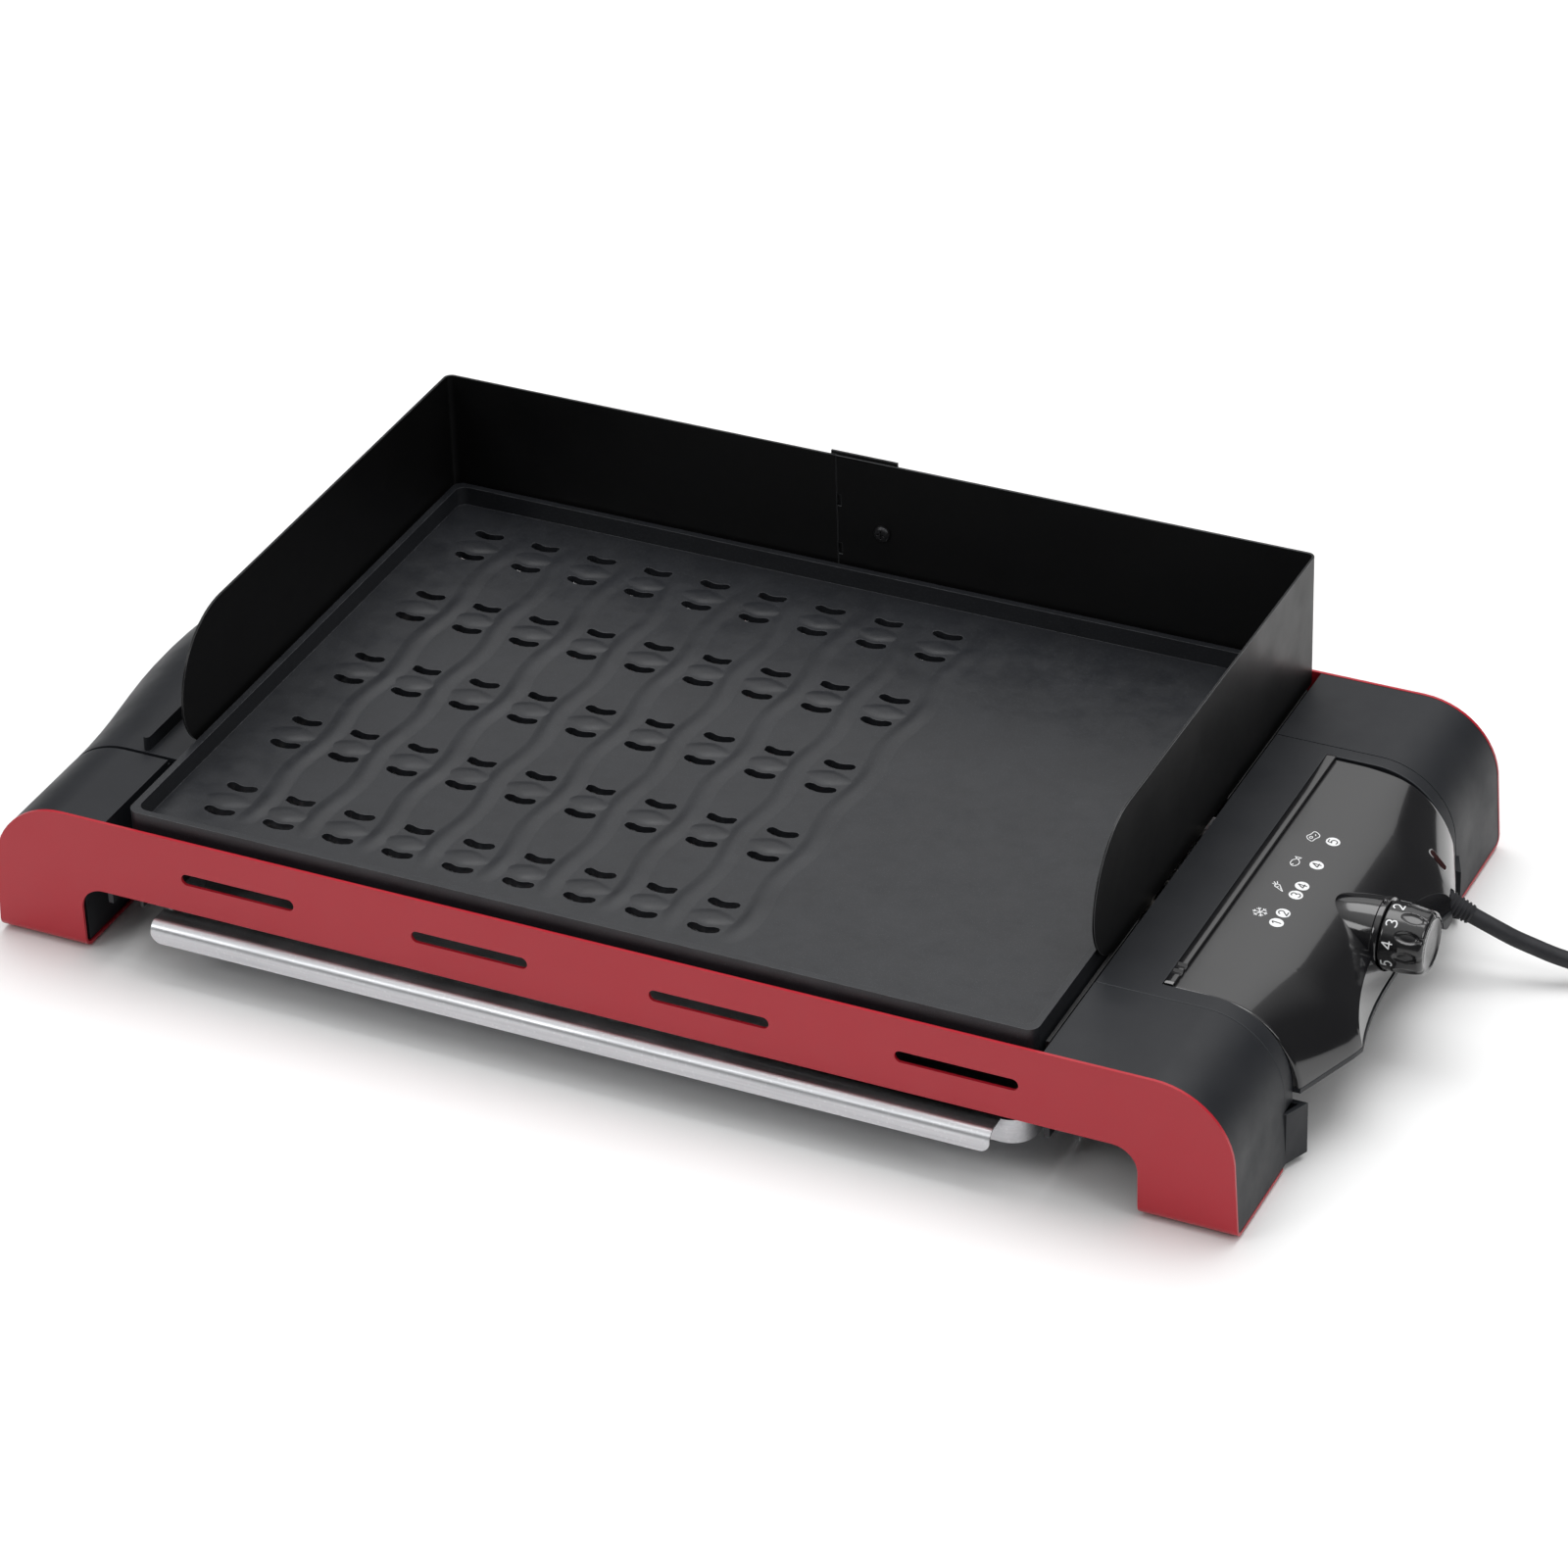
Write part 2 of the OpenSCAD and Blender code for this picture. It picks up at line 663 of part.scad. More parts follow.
module windshield_left() color([0.07, 0.07, 0.07]) placed() {
    r = 4;
    y1 = shield_y + shield_t;
    x0 = shield_left;
    along_x(x0, shield_t) intersection() {
        wing_outline();
        translate([shield_front - 1, 0]) square([y1 - r - shield_front + 1, shield_z]);
    }
    translate([x0 + r, y1 - r, 0]) corner_bend(r, 90);
    box([x0 + r, shield_y, shield_bottom], [joint_x - gap, y1, shield_z]);
    // the joggle steps back by one thickness and passes behind the other half
    box([joint_x - 3, y1 - eps, shield_bottom], [joint_x - gap, y1 + 0.2, shield_z]);
    difference() {
        box([joint_x - 3, y1 + 0.1, shield_bottom], [flap_x, y1 + 0.1 + shield_t, shield_z + flap_rise]);
        translate([screw_x, shield_y - 2, shield_screw_z]) rotate([-90, 0, 0]) cylinder(r = 2.1, h = 6);
    }
}

module windshield_screw() color("silver") placed() translate([screw_x, shield_y, shield_screw_z]) rotate([-90, 0, 0])
    difference() {
        union() {
            translate([0, 0, -2.2]) cylinder(r1 = 3, r2 = 4, h = 1);
            translate([0, 0, -1.2]) cylinder(r = 4, h = 1.2);
            cylinder(r = 2, h = 3.6);
        }
        for (a = [0, 90]) rotate([0, 0, a]) translate([-2.2, -0.4, -2.3]) cube([4.4, 0.8, 1.2]);
    }

module windshield_nut() color("silver") placed()
    translate([screw_x, shield_y + 2 * shield_t + 0.1, shield_screw_z]) rotate([-90, 0, 0]) difference() {
        cylinder(r = 3.6, h = 1.2, $fn = 6);
        translate([0, 0, -1]) cylinder(r = 2, h = 4);
    }

// ---- temperature controller ----

// how far the shell's lower edge stands out at y: full between the shoulders, none at the ends
function swell(y) = let (a = abs(y) - shoulder_y, slope = shoulder / (bay_y1 - shoulder_y))
    a < -shoulder_blend ? shoulder
    : a < shoulder_blend ? shoulder - slope * pow(a + shoulder_blend, 2) / (4 * shoulder_blend)
    : shoulder - slope * a;

// face that is cut back between the shoulders, round the knob
function facet_x(y, z) = facet_x0 + facet_rise * pow(abs(y) / shoulder_y, 2.4) - facet_slope * (z - bay_z);

function shell_point(y, a, t) = let (z = bay_z + (shell_h - t) * cos(a) * (1 + fullness * pow(sin(2 * a), 2))) [
    min(shell_x + (shell_a - t) * sin(a) + swell(y) * pow(sin(a), 3), facet_x(y, z) - t), y, z
];

// angle of the shell's side where it meets the lower shell
side_a = 86;

// section of the shell at y, shrunk by t, its open lower side at z0
function shell_section(y, t, z0) = concat(
    [[bay_x + t, y, z0], [bay_x + t, y, bay_z + shell_h - t]],
    [for (a = span(0, side_a, 16)) shell_point(y, a, t)],
    [[shell_point(y, side_a, t).x, y, z0]]
);

module controller_top_shell() color([0.03, 0.03, 0.03]) placed() difference() {
    union() {
        loft([for (y = span(bay_y1, bay_y0, 30)) shell_section(y, 0, shell_z0)]);
        // pull bar along the inner edge
        box([bay_x, bay_y0, frame_h - 3], [bay_x + 5, bay_y1, frame_h + 1]);
        // collar behind the knob, tapered into the dome
        translate([266, 0, knob_z]) rotate([0, 90, 0]) {
            cylinder(r1 = 10, r2 = 15.7, h = 28);
            translate([0, 0, 28]) cylinder(r = 15.7, h = knob_x0 - 294.5);
        }
    }
    difference() {
        loft([for (y = span(bay_y1 - wall, bay_y0 + wall, 30)) shell_section(y, wall, shell_z0 - 5)]);
        translate([0, 0, knob_z]) rod_x(290, knob_x1, well_r + wall);
        shell_bosses() cylinder(r = 4, h = frame_h);
    }
    shell_bosses() translate([0, 0, shell_z0 - 1]) cylinder(r = 1.5, h = 9);
    translate([0, 0, knob_z]) rod_x(280, knob_x0 + 5, shaft_r + 0.05);
    // well that the knob turns in
    translate([0, 0, knob_z]) rod_x(knob_x0 - 0.5, knob_x1, well_r);
    lens_place() translate([0, 0, -5]) linear_extrude(10) lens_outline();
    unplaced() relief_cone();
    for (s = [-1, 1]) translate([0, s * run_in, tube_z]) rod_x(bay_x - 1, bay_x + wall + 1, socket_r + 0.3);
    translate([0, 0, probe_z]) rod_x(bay_x - 1, bay_x + wall + 1, probe_r + 0.3);
}

module controller_bottom_shell() color([0.06, 0.06, 0.06]) placed() difference() {
    union() {
        linear_extrude_between(bay_z, shell_z0 - 0.2) polygon(concat(
            [[bay_x, bay_y1], [bay_x, bay_y0]],
            [for (y = span(bay_y0, bay_y1, 30)) [min(shell_x + shell_a + swell(y), facet_x(y, bay_z)), y]]
        ));
        // rounded boss under the cord
        intersection() {
            translate([0, shoulder_y, bay_z]) rod_x(286, 314, 8);
            box([280, 40, bay_z - 10], [320, 70, bay_z + 1]);
        }
    }
    shell_bosses() cylinder(r = 1.5, h = 60);
    unplaced() relief_cone();
}

module shell_bosses() for (x = [250, 290], y = [-80, 80]) translate([x, y, 0]) children();

module controller_screws() color("silver") placed() shell_bosses() translate([0, 0, bay_z]) screw(3, 1.8, 1.5, 10);

module thermostat() color([0.8, 0.78, 0.7]) placed() {
    box([bay_x + wall + 6, -16, 42], [279, 16, 61]);
    for (y = [-14, 10]) box([bay_x + wall + 8, y, shell_z0 - 0.2], [275, y + 4, 43]);
}

module probe_rod() color("silver") placed() translate([0, 0, probe_z]) {
    rod_x(172, bay_x + wall + 6, probe_r);
    translate([172, 0, 0]) sphere(probe_r);
}

module contact_sockets() color("goldenrod") placed() for (s = [-1, 1]) translate([0, s * run_in, tube_z])
    difference() {
        union() {
            rod_x(bay_x + 0.5, bay_x + 22, socket_r);
            box([bay_x + 8, -2.5, shell_z0 - 0.2 - tube_z], [bay_x + 16, 2.5, 0]);
        }
        rod_x(bay_x - 1, bay_x + 20, pin_r + 0.4);
    }

lens_y = 67;
lens_a = 63;
lens_tilt = 48;

module lens_place() translate(shell_point(lens_y, lens_a, 0)) rotate([0, lens_tilt, 0]) children();

module lens_outline() rounded_rect([-5.5, -1.5], [5.5, 1.5], 1.5 - eps);

module indicator_lens() color([0.4, 0.05, 0.04]) placed() lens_place() translate([0, 0, -1.5])
    linear_extrude(2) lens_outline();

module indicator_lamp() color("orange") placed() lens_place() translate([-4, 0, -6]) rod_x(0, 8, 2);

// ---- knob ----

module knob() color([0.05, 0.05, 0.05]) placed() translate([0, 0, knob_z]) difference() {
    rotate([0, 90, 0]) rotate_extrude() polygon([
        [0, knob_x0], [knob_r, knob_x0], [knob_r, knob_x0 + 9], [knob_front_r + 0.6, knob_x1 - 3],
        [knob_front_r, knob_x1 - 1], [knob_front_r - 1.2, knob_x1], [0, knob_x1]
    ]);
    rod_x(knob_x0 - 1, knob_x0 + 14, shaft_r);
    for (i = [0:9]) rotate([36 * i + 18, 0, 0]) translate([knob_x1 - 5, 0, knob_r + 1]) sphere(3.2);
}

module knob_shaft() color("silver") placed() translate([0, 0, knob_z]) rod_x(279.5, knob_x0 + 14, shaft_r);

// ---- cord ----

function unit(v) = v / norm(v);

// the cord's tube along a route: one ring of points at each of the route's own points
module cord_tube(route) {
    last = len(route) - 1;
    loft([for (i = [0:last]) let (
        d = unit(route[min(i + 1, last)] - route[max(i - 1, 0)]), side = unit(cross(d, [0, 0, 1])), up = cross(side, d)
    ) [for (a = [0:30:330]) route[i] + cord_d / 2 * (cos(a) * side + sin(a) * up)]]);
}

module power_cord() color([0.08, 0.08, 0.08]) cord_tube(cord_route);

module cord_coil() color([0.08, 0.08, 0.08]) translate([coil_x, coil_y, 0]) rotate_extrude()
    translate([coil_in, 0]) square([coil_out - coil_in, coil_h]);

module cord_tail() color([0.08, 0.08, 0.08]) cord_tube(tail_route);

module relief_cone() {
    d = relief_end - relief_start;
    translate(relief_start) rotate([0, acos(d.z / norm(d)), atan2(d.y, d.x)])
        cylinder(r1 = relief_r0, r2 = relief_r1, h = norm(d));
}

module strain_relief() color([0.08, 0.08, 0.08]) relief_cone();

// earthed plug, lying on its flat side with its blades towards +Y
module plug_body() color([0.08, 0.08, 0.08]) translate(plug_at) rotate([-90, 0, 0]) linear_extrude(plug_l)
    intersection() {
        square([2 * plug_half_w, 2 * plug_at.z], center = true);
        circle(plug_half_w + 1.8);
    }

module plug_pins() color("silver") translate(plug_at + [0, plug_l, 0]) {
    for (x = [-6.35, 6.35]) translate([x - 0.75, 0, 0.4]) cube([1.5, blade_l, 6.3]);
    translate([0, 0, -8.3]) rotate([-90, 0, 0]) cylinder(r = 2.4, h = blade_l + 3);
}

front_panel();
rear_panel();
left_housing();
right_housing();
left_grip_cover();
right_bay_cover();
left_tray_rail();
right_tray_rail();
rail_screws();
cover_screws();
foot_screws();
rubber_feet();
grill_plate();
heating_element();
element_clips();
clip_screws();
element_insulators();
terminal_pins();
terminal_guard();
guard_screws();
probe_guide();
drip_tray();
windshield_left();
windshield_right();
windshield_screw();
windshield_nut();
controller_top_shell();
controller_bottom_shell();
controller_screws();
thermostat();
probe_rod();
contact_sockets();
indicator_lens();
indicator_lamp();
knob();
knob_shaft();
strain_relief();
power_cord();
cord_coil();
cord_tail();
plug_body();
plug_pins();
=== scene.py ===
"""The looks of a tabletop electric griddle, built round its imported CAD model.

Lengths inside the functions are in millimetres in the griddle's own middle frame: X along its
length from the middle of the painted panels, Y from the middle of its depth, Z from the tabletop.
spot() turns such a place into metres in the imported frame. Cord places are given as the CAD source
gives them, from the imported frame's own origin.
"""
import json
import math

import bmesh
import bpy
from mathutils import Matrix, Vector


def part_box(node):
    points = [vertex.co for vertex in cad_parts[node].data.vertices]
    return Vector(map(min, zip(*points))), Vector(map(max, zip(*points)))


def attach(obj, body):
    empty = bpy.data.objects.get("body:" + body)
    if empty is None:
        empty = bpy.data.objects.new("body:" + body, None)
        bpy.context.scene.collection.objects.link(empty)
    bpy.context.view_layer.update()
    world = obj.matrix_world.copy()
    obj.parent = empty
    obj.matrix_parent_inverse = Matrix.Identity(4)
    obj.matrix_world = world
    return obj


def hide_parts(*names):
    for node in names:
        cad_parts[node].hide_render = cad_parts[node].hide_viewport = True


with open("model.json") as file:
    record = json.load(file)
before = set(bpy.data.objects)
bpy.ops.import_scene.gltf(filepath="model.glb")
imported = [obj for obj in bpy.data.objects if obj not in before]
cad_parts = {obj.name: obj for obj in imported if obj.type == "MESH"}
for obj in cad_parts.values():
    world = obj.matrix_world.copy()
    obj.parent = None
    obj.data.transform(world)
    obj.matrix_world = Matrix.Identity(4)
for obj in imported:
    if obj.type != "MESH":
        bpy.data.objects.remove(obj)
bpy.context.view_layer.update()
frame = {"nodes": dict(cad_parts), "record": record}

MM = 0.001
PANEL_LOW, PANEL_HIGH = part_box("front_panel")
PANEL_HALF_WIDTH = 163
MIDDLE_X = (PANEL_LOW.x + PANEL_HIGH.x) / 2 / MM
MIDDLE_Y = PANEL_LOW.y / MM + PANEL_HALF_WIDTH
FRAME_SHIFT = Vector((MIDDLE_X, MIDDLE_Y, 0))


def spot(x, y, z):
    """A place in the middle frame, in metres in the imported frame."""
    return Vector(((x + MIDDLE_X) * MM, (y + MIDDLE_Y) * MM, z * MM))


def set_range(node, from_low, from_high, low, high):
    """Fills the four limits of a Map Range node."""
    for key, number in zip(("From Min", "From Max", "To Min", "To Max"), (from_low, from_high, low, high)):
        node.inputs[key].default_value = number


# ---------------------------------------------------------------- camera and cord

CAMERA_AT = (1.0126, -2.0285, 1.5252)
CAMERA_TURN = (26.276, 32.876, -2.0015)  # azimuth, elevation and roll in degrees
CAMERA_LENS = 137.706
CAMERA_SENSOR = 36


def make_camera():
    azimuth, elevation, roll = (math.radians(a) for a in CAMERA_TURN)
    back = Vector((math.sin(azimuth) * math.cos(elevation), -math.cos(azimuth) * math.cos(elevation),
                   math.sin(elevation)))
    right = Vector((math.cos(azimuth), math.sin(azimuth), 0))
    up = back.cross(right)
    turned_right = right * math.cos(roll) + up * math.sin(roll)
    turned_up = up * math.cos(roll) - right * math.sin(roll)
    data = bpy.data.cameras.new("camera")
    data.lens = CAMERA_LENS
    data.sensor_width = CAMERA_SENSOR
    data.clip_end = 50
    camera = bpy.data.objects.new("camera", data)
    bpy.context.scene.collection.objects.link(camera)
    turn = Matrix((turned_right, turned_up, back)).transposed().to_4x4()
    camera.matrix_world = Matrix.Translation(CAMERA_AT) @ turn
    bpy.context.scene.camera = camera


CORD_D = 7.6
CORD_PITCH = CORD_D + 0.2
RELIEF_START = (294, 62, 42)
RELIEF_END = (315, 65, 31)
CORD_ROUTE = [
    (315, 65, 31), (321, 66, 28), (327, 67, 25), (334, 69, 21), (342, 71, 17.5), (351, 73, 14),
    (361, 76, 10.5), (372, 79, 7.5), (384, 82, 5), (395, 84, 3.9),
]
COIL_X = 420
COIL_BEND = 31.5
COIL_WRAPS = 2.6
COIL_Y = 84.5 + COIL_BEND + COIL_WRAPS * CORD_PITCH
CLIMB_TURN = 0.25
TOP_WRAPS = 2.4
COIL_STEPS = 40  # points to one turn
TAIL_ROUTE = [
    (470.3, 140, 11.4), (470.6, 148, 11.4), (470.9, 156, 11.5), (471.1, 164, 11.7), (471.2, 172, 11.9),
    (471.2, 180, 12),
]
PLUG_AT = (471.2, 180, 12)
PLUG_L = 36


def coil_points():
    """The wound length: in along the bottom layer, up at the inside, and out along the top layer."""
    points = []
    turns = COIL_WRAPS + CLIMB_TURN + TOP_WRAPS
    steps = int(turns * COIL_STEPS)
    for i in range(1, steps):
        turn = turns * i / steps
        inward = max(COIL_WRAPS - turn, 0)
        outward = max(turn - COIL_WRAPS - CLIMB_TURN, 0)
        radius = COIL_BEND + CORD_PITCH * (inward + outward)
        climb = min(max((turn - COIL_WRAPS) / CLIMB_TURN, 0), 1)
        height = CORD_D * (0.5 + climb * climb * (3 - 2 * climb))
        angle = 2 * math.pi * turn - math.pi / 2
        points.append((COIL_X + radius * math.cos(angle), COIL_Y + radius * math.sin(angle), height))
    return points


def smooth_path(points, step=2.0):
    """Points every step or so along a smooth curve through the given ones."""
    knots = [Vector(p) for p in points]
    knots = [2 * knots[0] - knots[1]] + knots + [2 * knots[-1] - knots[-2]]
    path = []
    for a, b, c, d in zip(knots, knots[1:], knots[2:], knots[3:]):
        pieces = max(1, round((c - b).length / step))
        for i in range(pieces):
            t = i / pieces
            path.append(0.5 * (2 * b + (c - a) * t + (2 * a - 5 * b + 4 * c - d) * t * t
                               + (3 * b - a - 3 * c + d) * t * t * t))
    path.append(knots[-2])
    return path


def curve_piece(name, path, diameter, look, body):
    data = bpy.data.curves.new(name, "CURVE")
    data.dimensions = "3D"
    data.bevel_depth = diameter / 2 * MM
    data.bevel_resolution = 5
    data.use_fill_caps = True
    spline = data.splines.new("POLY")
    spline.points.add(len(path) - 1)
    for point, place in zip(spline.points, path):
        point.co = (*(Vector(place) * MM), 1)
    data.materials.append(look)
    piece = bpy.data.objects.new(name, data)
    bpy.context.scene.collection.objects.link(piece)
    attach(piece, body)
    return piece


make_camera()

# ---------------------------------------------------------------- materials


class Look:
    """One procedural material: a Principled shader and the textures that feed it."""

    def __init__(self, name, color, roughness, metallic=0.0, **values):
        self.material = bpy.data.materials.new(name)
        self.material.use_nodes = True
        self.tree = self.material.node_tree
        self.shader = self.tree.nodes["Principled BSDF"]
        self.color = (*color, 1)
        self.roughness = roughness
        self.set("Base Color", self.color)
        self.set("Roughness", roughness)
        self.set("Metallic", metallic)
        for key, value in values.items():
            self.set(key.replace("_", " "), value)
        self.place = self.node("ShaderNodeTexCoord").outputs["Object"]
        self.normal = None

    def node(self, kind, **inputs):
        made = self.tree.nodes.new(kind)
        for key, value in inputs.items():
            self.join(value, made.inputs[key.replace("_", " ")])
        return made

    def join(self, value, socket):
        if isinstance(value, bpy.types.NodeSocket):
            self.tree.links.new(value, socket)
        else:
            socket.default_value = value

    def set(self, key, value):
        self.join(value, self.shader.inputs[key])

    def stretched(self, scale):
        """The place on the piece, scaled along each axis."""
        mapping = self.node("ShaderNodeMapping", Vector=self.place)
        mapping.inputs["Scale"].default_value = scale
        return mapping.outputs[0]

    def noise(self, scale, detail=3.0, stretch=None, roughness=0.55):
        """A cloudy factor with about scale features to the metre."""
        place = self.stretched(stretch) if stretch else self.place
        return self.node("ShaderNodeTexNoise", Vector=place, Scale=scale, Detail=detail,
                         Roughness=roughness).outputs["Fac"]

    def spots(self, scale, size):
        """Small round spots, 1 at their middles."""
        cells = self.node("ShaderNodeTexVoronoi", Vector=self.place, Scale=scale)
        return self.remap(cells.outputs["Distance"], size, size * 0.4, 0.0, 1.0)

    def remap(self, value, from_low, from_high, low, high):
        made = self.node("ShaderNodeMapRange", Value=value)
        set_range(made, from_low, from_high, low, high)
        return made.outputs[0]

    def product(self, a, b):
        made = self.node("ShaderNodeMath")
        made.operation = "MULTIPLY"
        self.join(a, made.inputs[0])
        self.join(b, made.inputs[1])
        return made.outputs[0]

    def mask(self, name):
        """A value stored on the mesh, such as the mark on its bevelled edges, which the materials lighten as
        a painted highlight.
        """
        made = self.node("ShaderNodeAttribute")
        made.attribute_name = name
        return made.outputs["Fac"]

    def tint(self, factor, color):
        """Mixes a colour over what is there so far."""
        mix = self.node("ShaderNodeMix")
        mix.data_type = "RGBA"
        self.join(factor, mix.inputs["Factor"])
        self.join(self.color, mix.inputs["A"])
        self.join((*color, 1), mix.inputs["B"])
        self.color = mix.outputs["Result"]
        self.set("Base Color", self.color)
        return self

    def rough(self, factor, low, high):
        """Roughness that runs from low to high with a factor around 0.5."""
        self.set("Roughness", self.remap(factor, 0.3, 0.7, low, high))
        return self

    def bump(self, height, depth_mm, strength=1.0):
        made = self.node("ShaderNodeBump", Height=height, Distance=depth_mm * MM, Strength=strength)
        if self.normal:
            self.tree.links.new(self.normal, made.inputs["Normal"])
        self.normal = made.outputs[0]
        self.set("Normal", self.normal)
        return self


def red_paint():
    look = Look("red_paint", (0.42, 0.010, 0.022), 0.38, Coat_Weight=0.2, Coat_Roughness=0.25,
                Specular_IOR_Level=0.35)
    clouds = look.noise(9, 4)
    look.tint(look.remap(clouds, 0.35, 0.75, 0.0, 0.35), (0.47, 0.016, 0.030))
    # painted highlight: the bevelled edges are tinted a brighter red
    look.tint(look.product(look.mask("edge"), 0.6), (0.75, 0.06, 0.09))
    look.rough(look.noise(60, 4), 0.30, 0.42)
    look.bump(look.noise(900, 2), 0.03, 0.35)
    return look.material


def moulded_black():
    look = Look("moulded_black", (0.010, 0.0112, 0.0140), 0.5, Specular_IOR_Level=0.35)
    look.tint(look.remap(look.noise(14, 4), 0.3, 0.7, 0.0, 0.5), (0.014, 0.0155, 0.019))
    # painted highlight: the bevelled edges are tinted a lighter grey
    look.tint(look.product(look.mask("edge"), 0.5), (0.05, 0.054, 0.06))
    look.rough(look.noise(45, 5), 0.42, 0.56)
    look.bump(look.noise(2600, 2), 0.05, 0.35)
    look.bump(look.noise(35, 2), 0.25, 0.12)
    return look.material


def gloss_black():
    look = Look("gloss_black", (0.006, 0.006, 0.007), 0.12, Coat_Weight=0.6, Coat_Roughness=0.05)
    # painted highlight: the bevelled edges are tinted a lighter grey
    look.tint(look.product(look.mask("edge"), 0.3), (0.05, 0.05, 0.055))
    look.rough(look.noise(25, 5), 0.10, 0.20)
    look.bump(look.noise(55, 2), 0.12, 0.08)
    return look.material


def knob_black():
    look = Look("knob_black", (0.008, 0.008, 0.009), 0.16, Coat_Weight=0.4, Coat_Roughness=0.08)
    # painted highlight: the bevelled edges are tinted a lighter grey
    look.tint(look.product(look.mask("edge"), 0.5), (0.07, 0.07, 0.075))
    look.rough(look.noise(120, 4), 0.12, 0.24)
    look.bump(look.noise(700, 2), 0.02, 0.15)
    return look.material


def coated_plate():
    look = Look("coated_plate", (0.011, 0.012, 0.0145), 0.45, Specular_IOR_Level=0.45)
    look.tint(look.remap(look.noise(30, 5), 0.35, 0.7, 0.0, 0.6), (0.015, 0.0165, 0.020))
    look.tint(look.product(look.spots(1500, 0.26), 0.35), (0.10, 0.11, 0.13))
    look.tint(look.product(look.spots(700, 0.13), 0.35), (0.14, 0.15, 0.17))
    # lighter grey in patches along the bevelled edges: partly coating worn through, partly painted highlight
    edge_wear_and_highlight = look.product(look.mask("edge"), look.remap(look.noise(260, 5), 0.35, 0.65, 0.35, 1.0))
    look.tint(look.product(edge_wear_and_highlight, 0.55), (0.16, 0.165, 0.18))
    look.rough(look.noise(80, 5), 0.36, 0.52)
    look.bump(look.noise(1600, 3), 0.05, 0.35)
    look.bump(look.noise(160, 3), 0.10, 0.08)
    return look.material


def shield_black():
    look = Look("shield_black", (0.004, 0.004, 0.0042), 0.34, Specular_IOR_Level=0.28)
    # painted highlight: the bevelled edges are tinted a light grey
    look.tint(look.product(look.mask("edge"), 0.7), (0.20, 0.21, 0.22))
    look.rough(look.noise(30, 5), 0.33, 0.46)
    look.bump(look.noise(1200, 3), 0.03, 0.3)
    look.bump(look.noise(12, 2), 0.6, 0.06)
    return look.material


def tray_metal():
    look = Look("tray_metal", (0.60, 0.61, 0.63), 0.3, metallic=1.0)
    grain = look.noise(130, 6, stretch=(0.12, 6, 6))
    look.tint(look.remap(grain, 0.3, 0.75, 0.0, 0.6), (0.47, 0.48, 0.50))
    look.tint(look.product(look.spots(420, 0.3), 0.25), (0.8, 0.81, 0.83))
    look.rough(grain, 0.32, 0.46)
    look.bump(grain, 0.006, 0.3)
    look.bump(look.noise(300, 4), 0.03, 0.3)
    return look.material


def coated_strip():
    look = Look("rail_black", (0.016, 0.016, 0.017), 0.45)
    # painted highlight: the bevelled edges are tinted a lighter grey
    look.tint(look.product(look.mask("edge"), 0.5), (0.12, 0.12, 0.12))
    look.rough(look.noise(50, 5), 0.38, 0.6)
    look.bump(look.noise(1000, 3), 0.05, 0.3)
    return look.material


def plated_steel():
    look = Look("plated_steel", (0.52, 0.52, 0.51), 0.32, metallic=1.0)
    look.tint(look.remap(look.noise(240, 5), 0.35, 0.7, 0.0, 0.7), (0.36, 0.35, 0.33))
    look.rough(look.noise(500, 4), 0.25, 0.5)
    look.bump(look.noise(1500, 3), 0.03, 0.3)
    return look.material


def blackened_steel():
    look = Look("blackened_steel", (0.045, 0.045, 0.048), 0.34, metallic=0.9)
    look.tint(look.remap(look.noise(500, 4), 0.4, 0.7, 0.0, 0.6), (0.10, 0.10, 0.105))
    # painted highlight: the bevelled edges are tinted a lighter grey
    look.tint(look.product(look.mask("edge"), 0.6), (0.25, 0.25, 0.26))
    look.rough(look.noise(700, 3), 0.28, 0.45)
    look.bump(look.noise(1500, 3), 0.03, 0.3)
    return look.material


def element_sheath():
    look = Look("element_sheath", (0.20, 0.19, 0.18), 0.5, metallic=0.9)
    look.tint(look.remap(look.noise(40, 6), 0.35, 0.65, 0.0, 0.8), (0.12, 0.09, 0.075))
    look.tint(look.remap(look.noise(18, 3), 0.55, 0.75, 0.0, 0.5), (0.10, 0.10, 0.15))
    look.rough(look.noise(300, 5), 0.4, 0.7)
    look.bump(look.noise(900, 4), 0.06, 0.5)
    return look.material


def ceramic():
    look = Look("ceramic", (0.78, 0.75, 0.67), 0.25)
    look.tint(look.remap(look.noise(300, 4), 0.4, 0.7, 0.0, 0.4), (0.62, 0.58, 0.50))
    look.rough(look.noise(400, 3), 0.2, 0.4)
    look.bump(look.noise(900, 3), 0.04, 0.4)
    return look.material


def contact_brass():
    look = Look("contact_brass", (0.70, 0.50, 0.22), 0.3, metallic=1.0)
    look.tint(look.remap(look.noise(300, 5), 0.4, 0.7, 0.0, 0.6), (0.45, 0.30, 0.13))
    look.rough(look.noise(500, 4), 0.22, 0.45)
    look.bump(look.noise(1300, 3), 0.03, 0.3)
    return look.material


def device_body():
    look = Look("device_body", (0.45, 0.40, 0.30), 0.5)
    look.tint(look.remap(look.noise(90, 5), 0.4, 0.7, 0.0, 0.6), (0.34, 0.29, 0.21))
    look.rough(look.noise(200, 4), 0.4, 0.6)
    look.bump(look.noise(1100, 3), 0.05, 0.4)
    return look.material


def lens_plastic():
    look = Look("lens_red", (0.035, 0.006, 0.006), 0.08, Transmission_Weight=0.35, IOR=1.49, Coat_Weight=0.5)
    look.rough(look.noise(600, 2), 0.05, 0.12)
    look.bump(look.noise(800, 2, stretch=(1, 6, 1)), 0.05, 0.3)
    return look.material


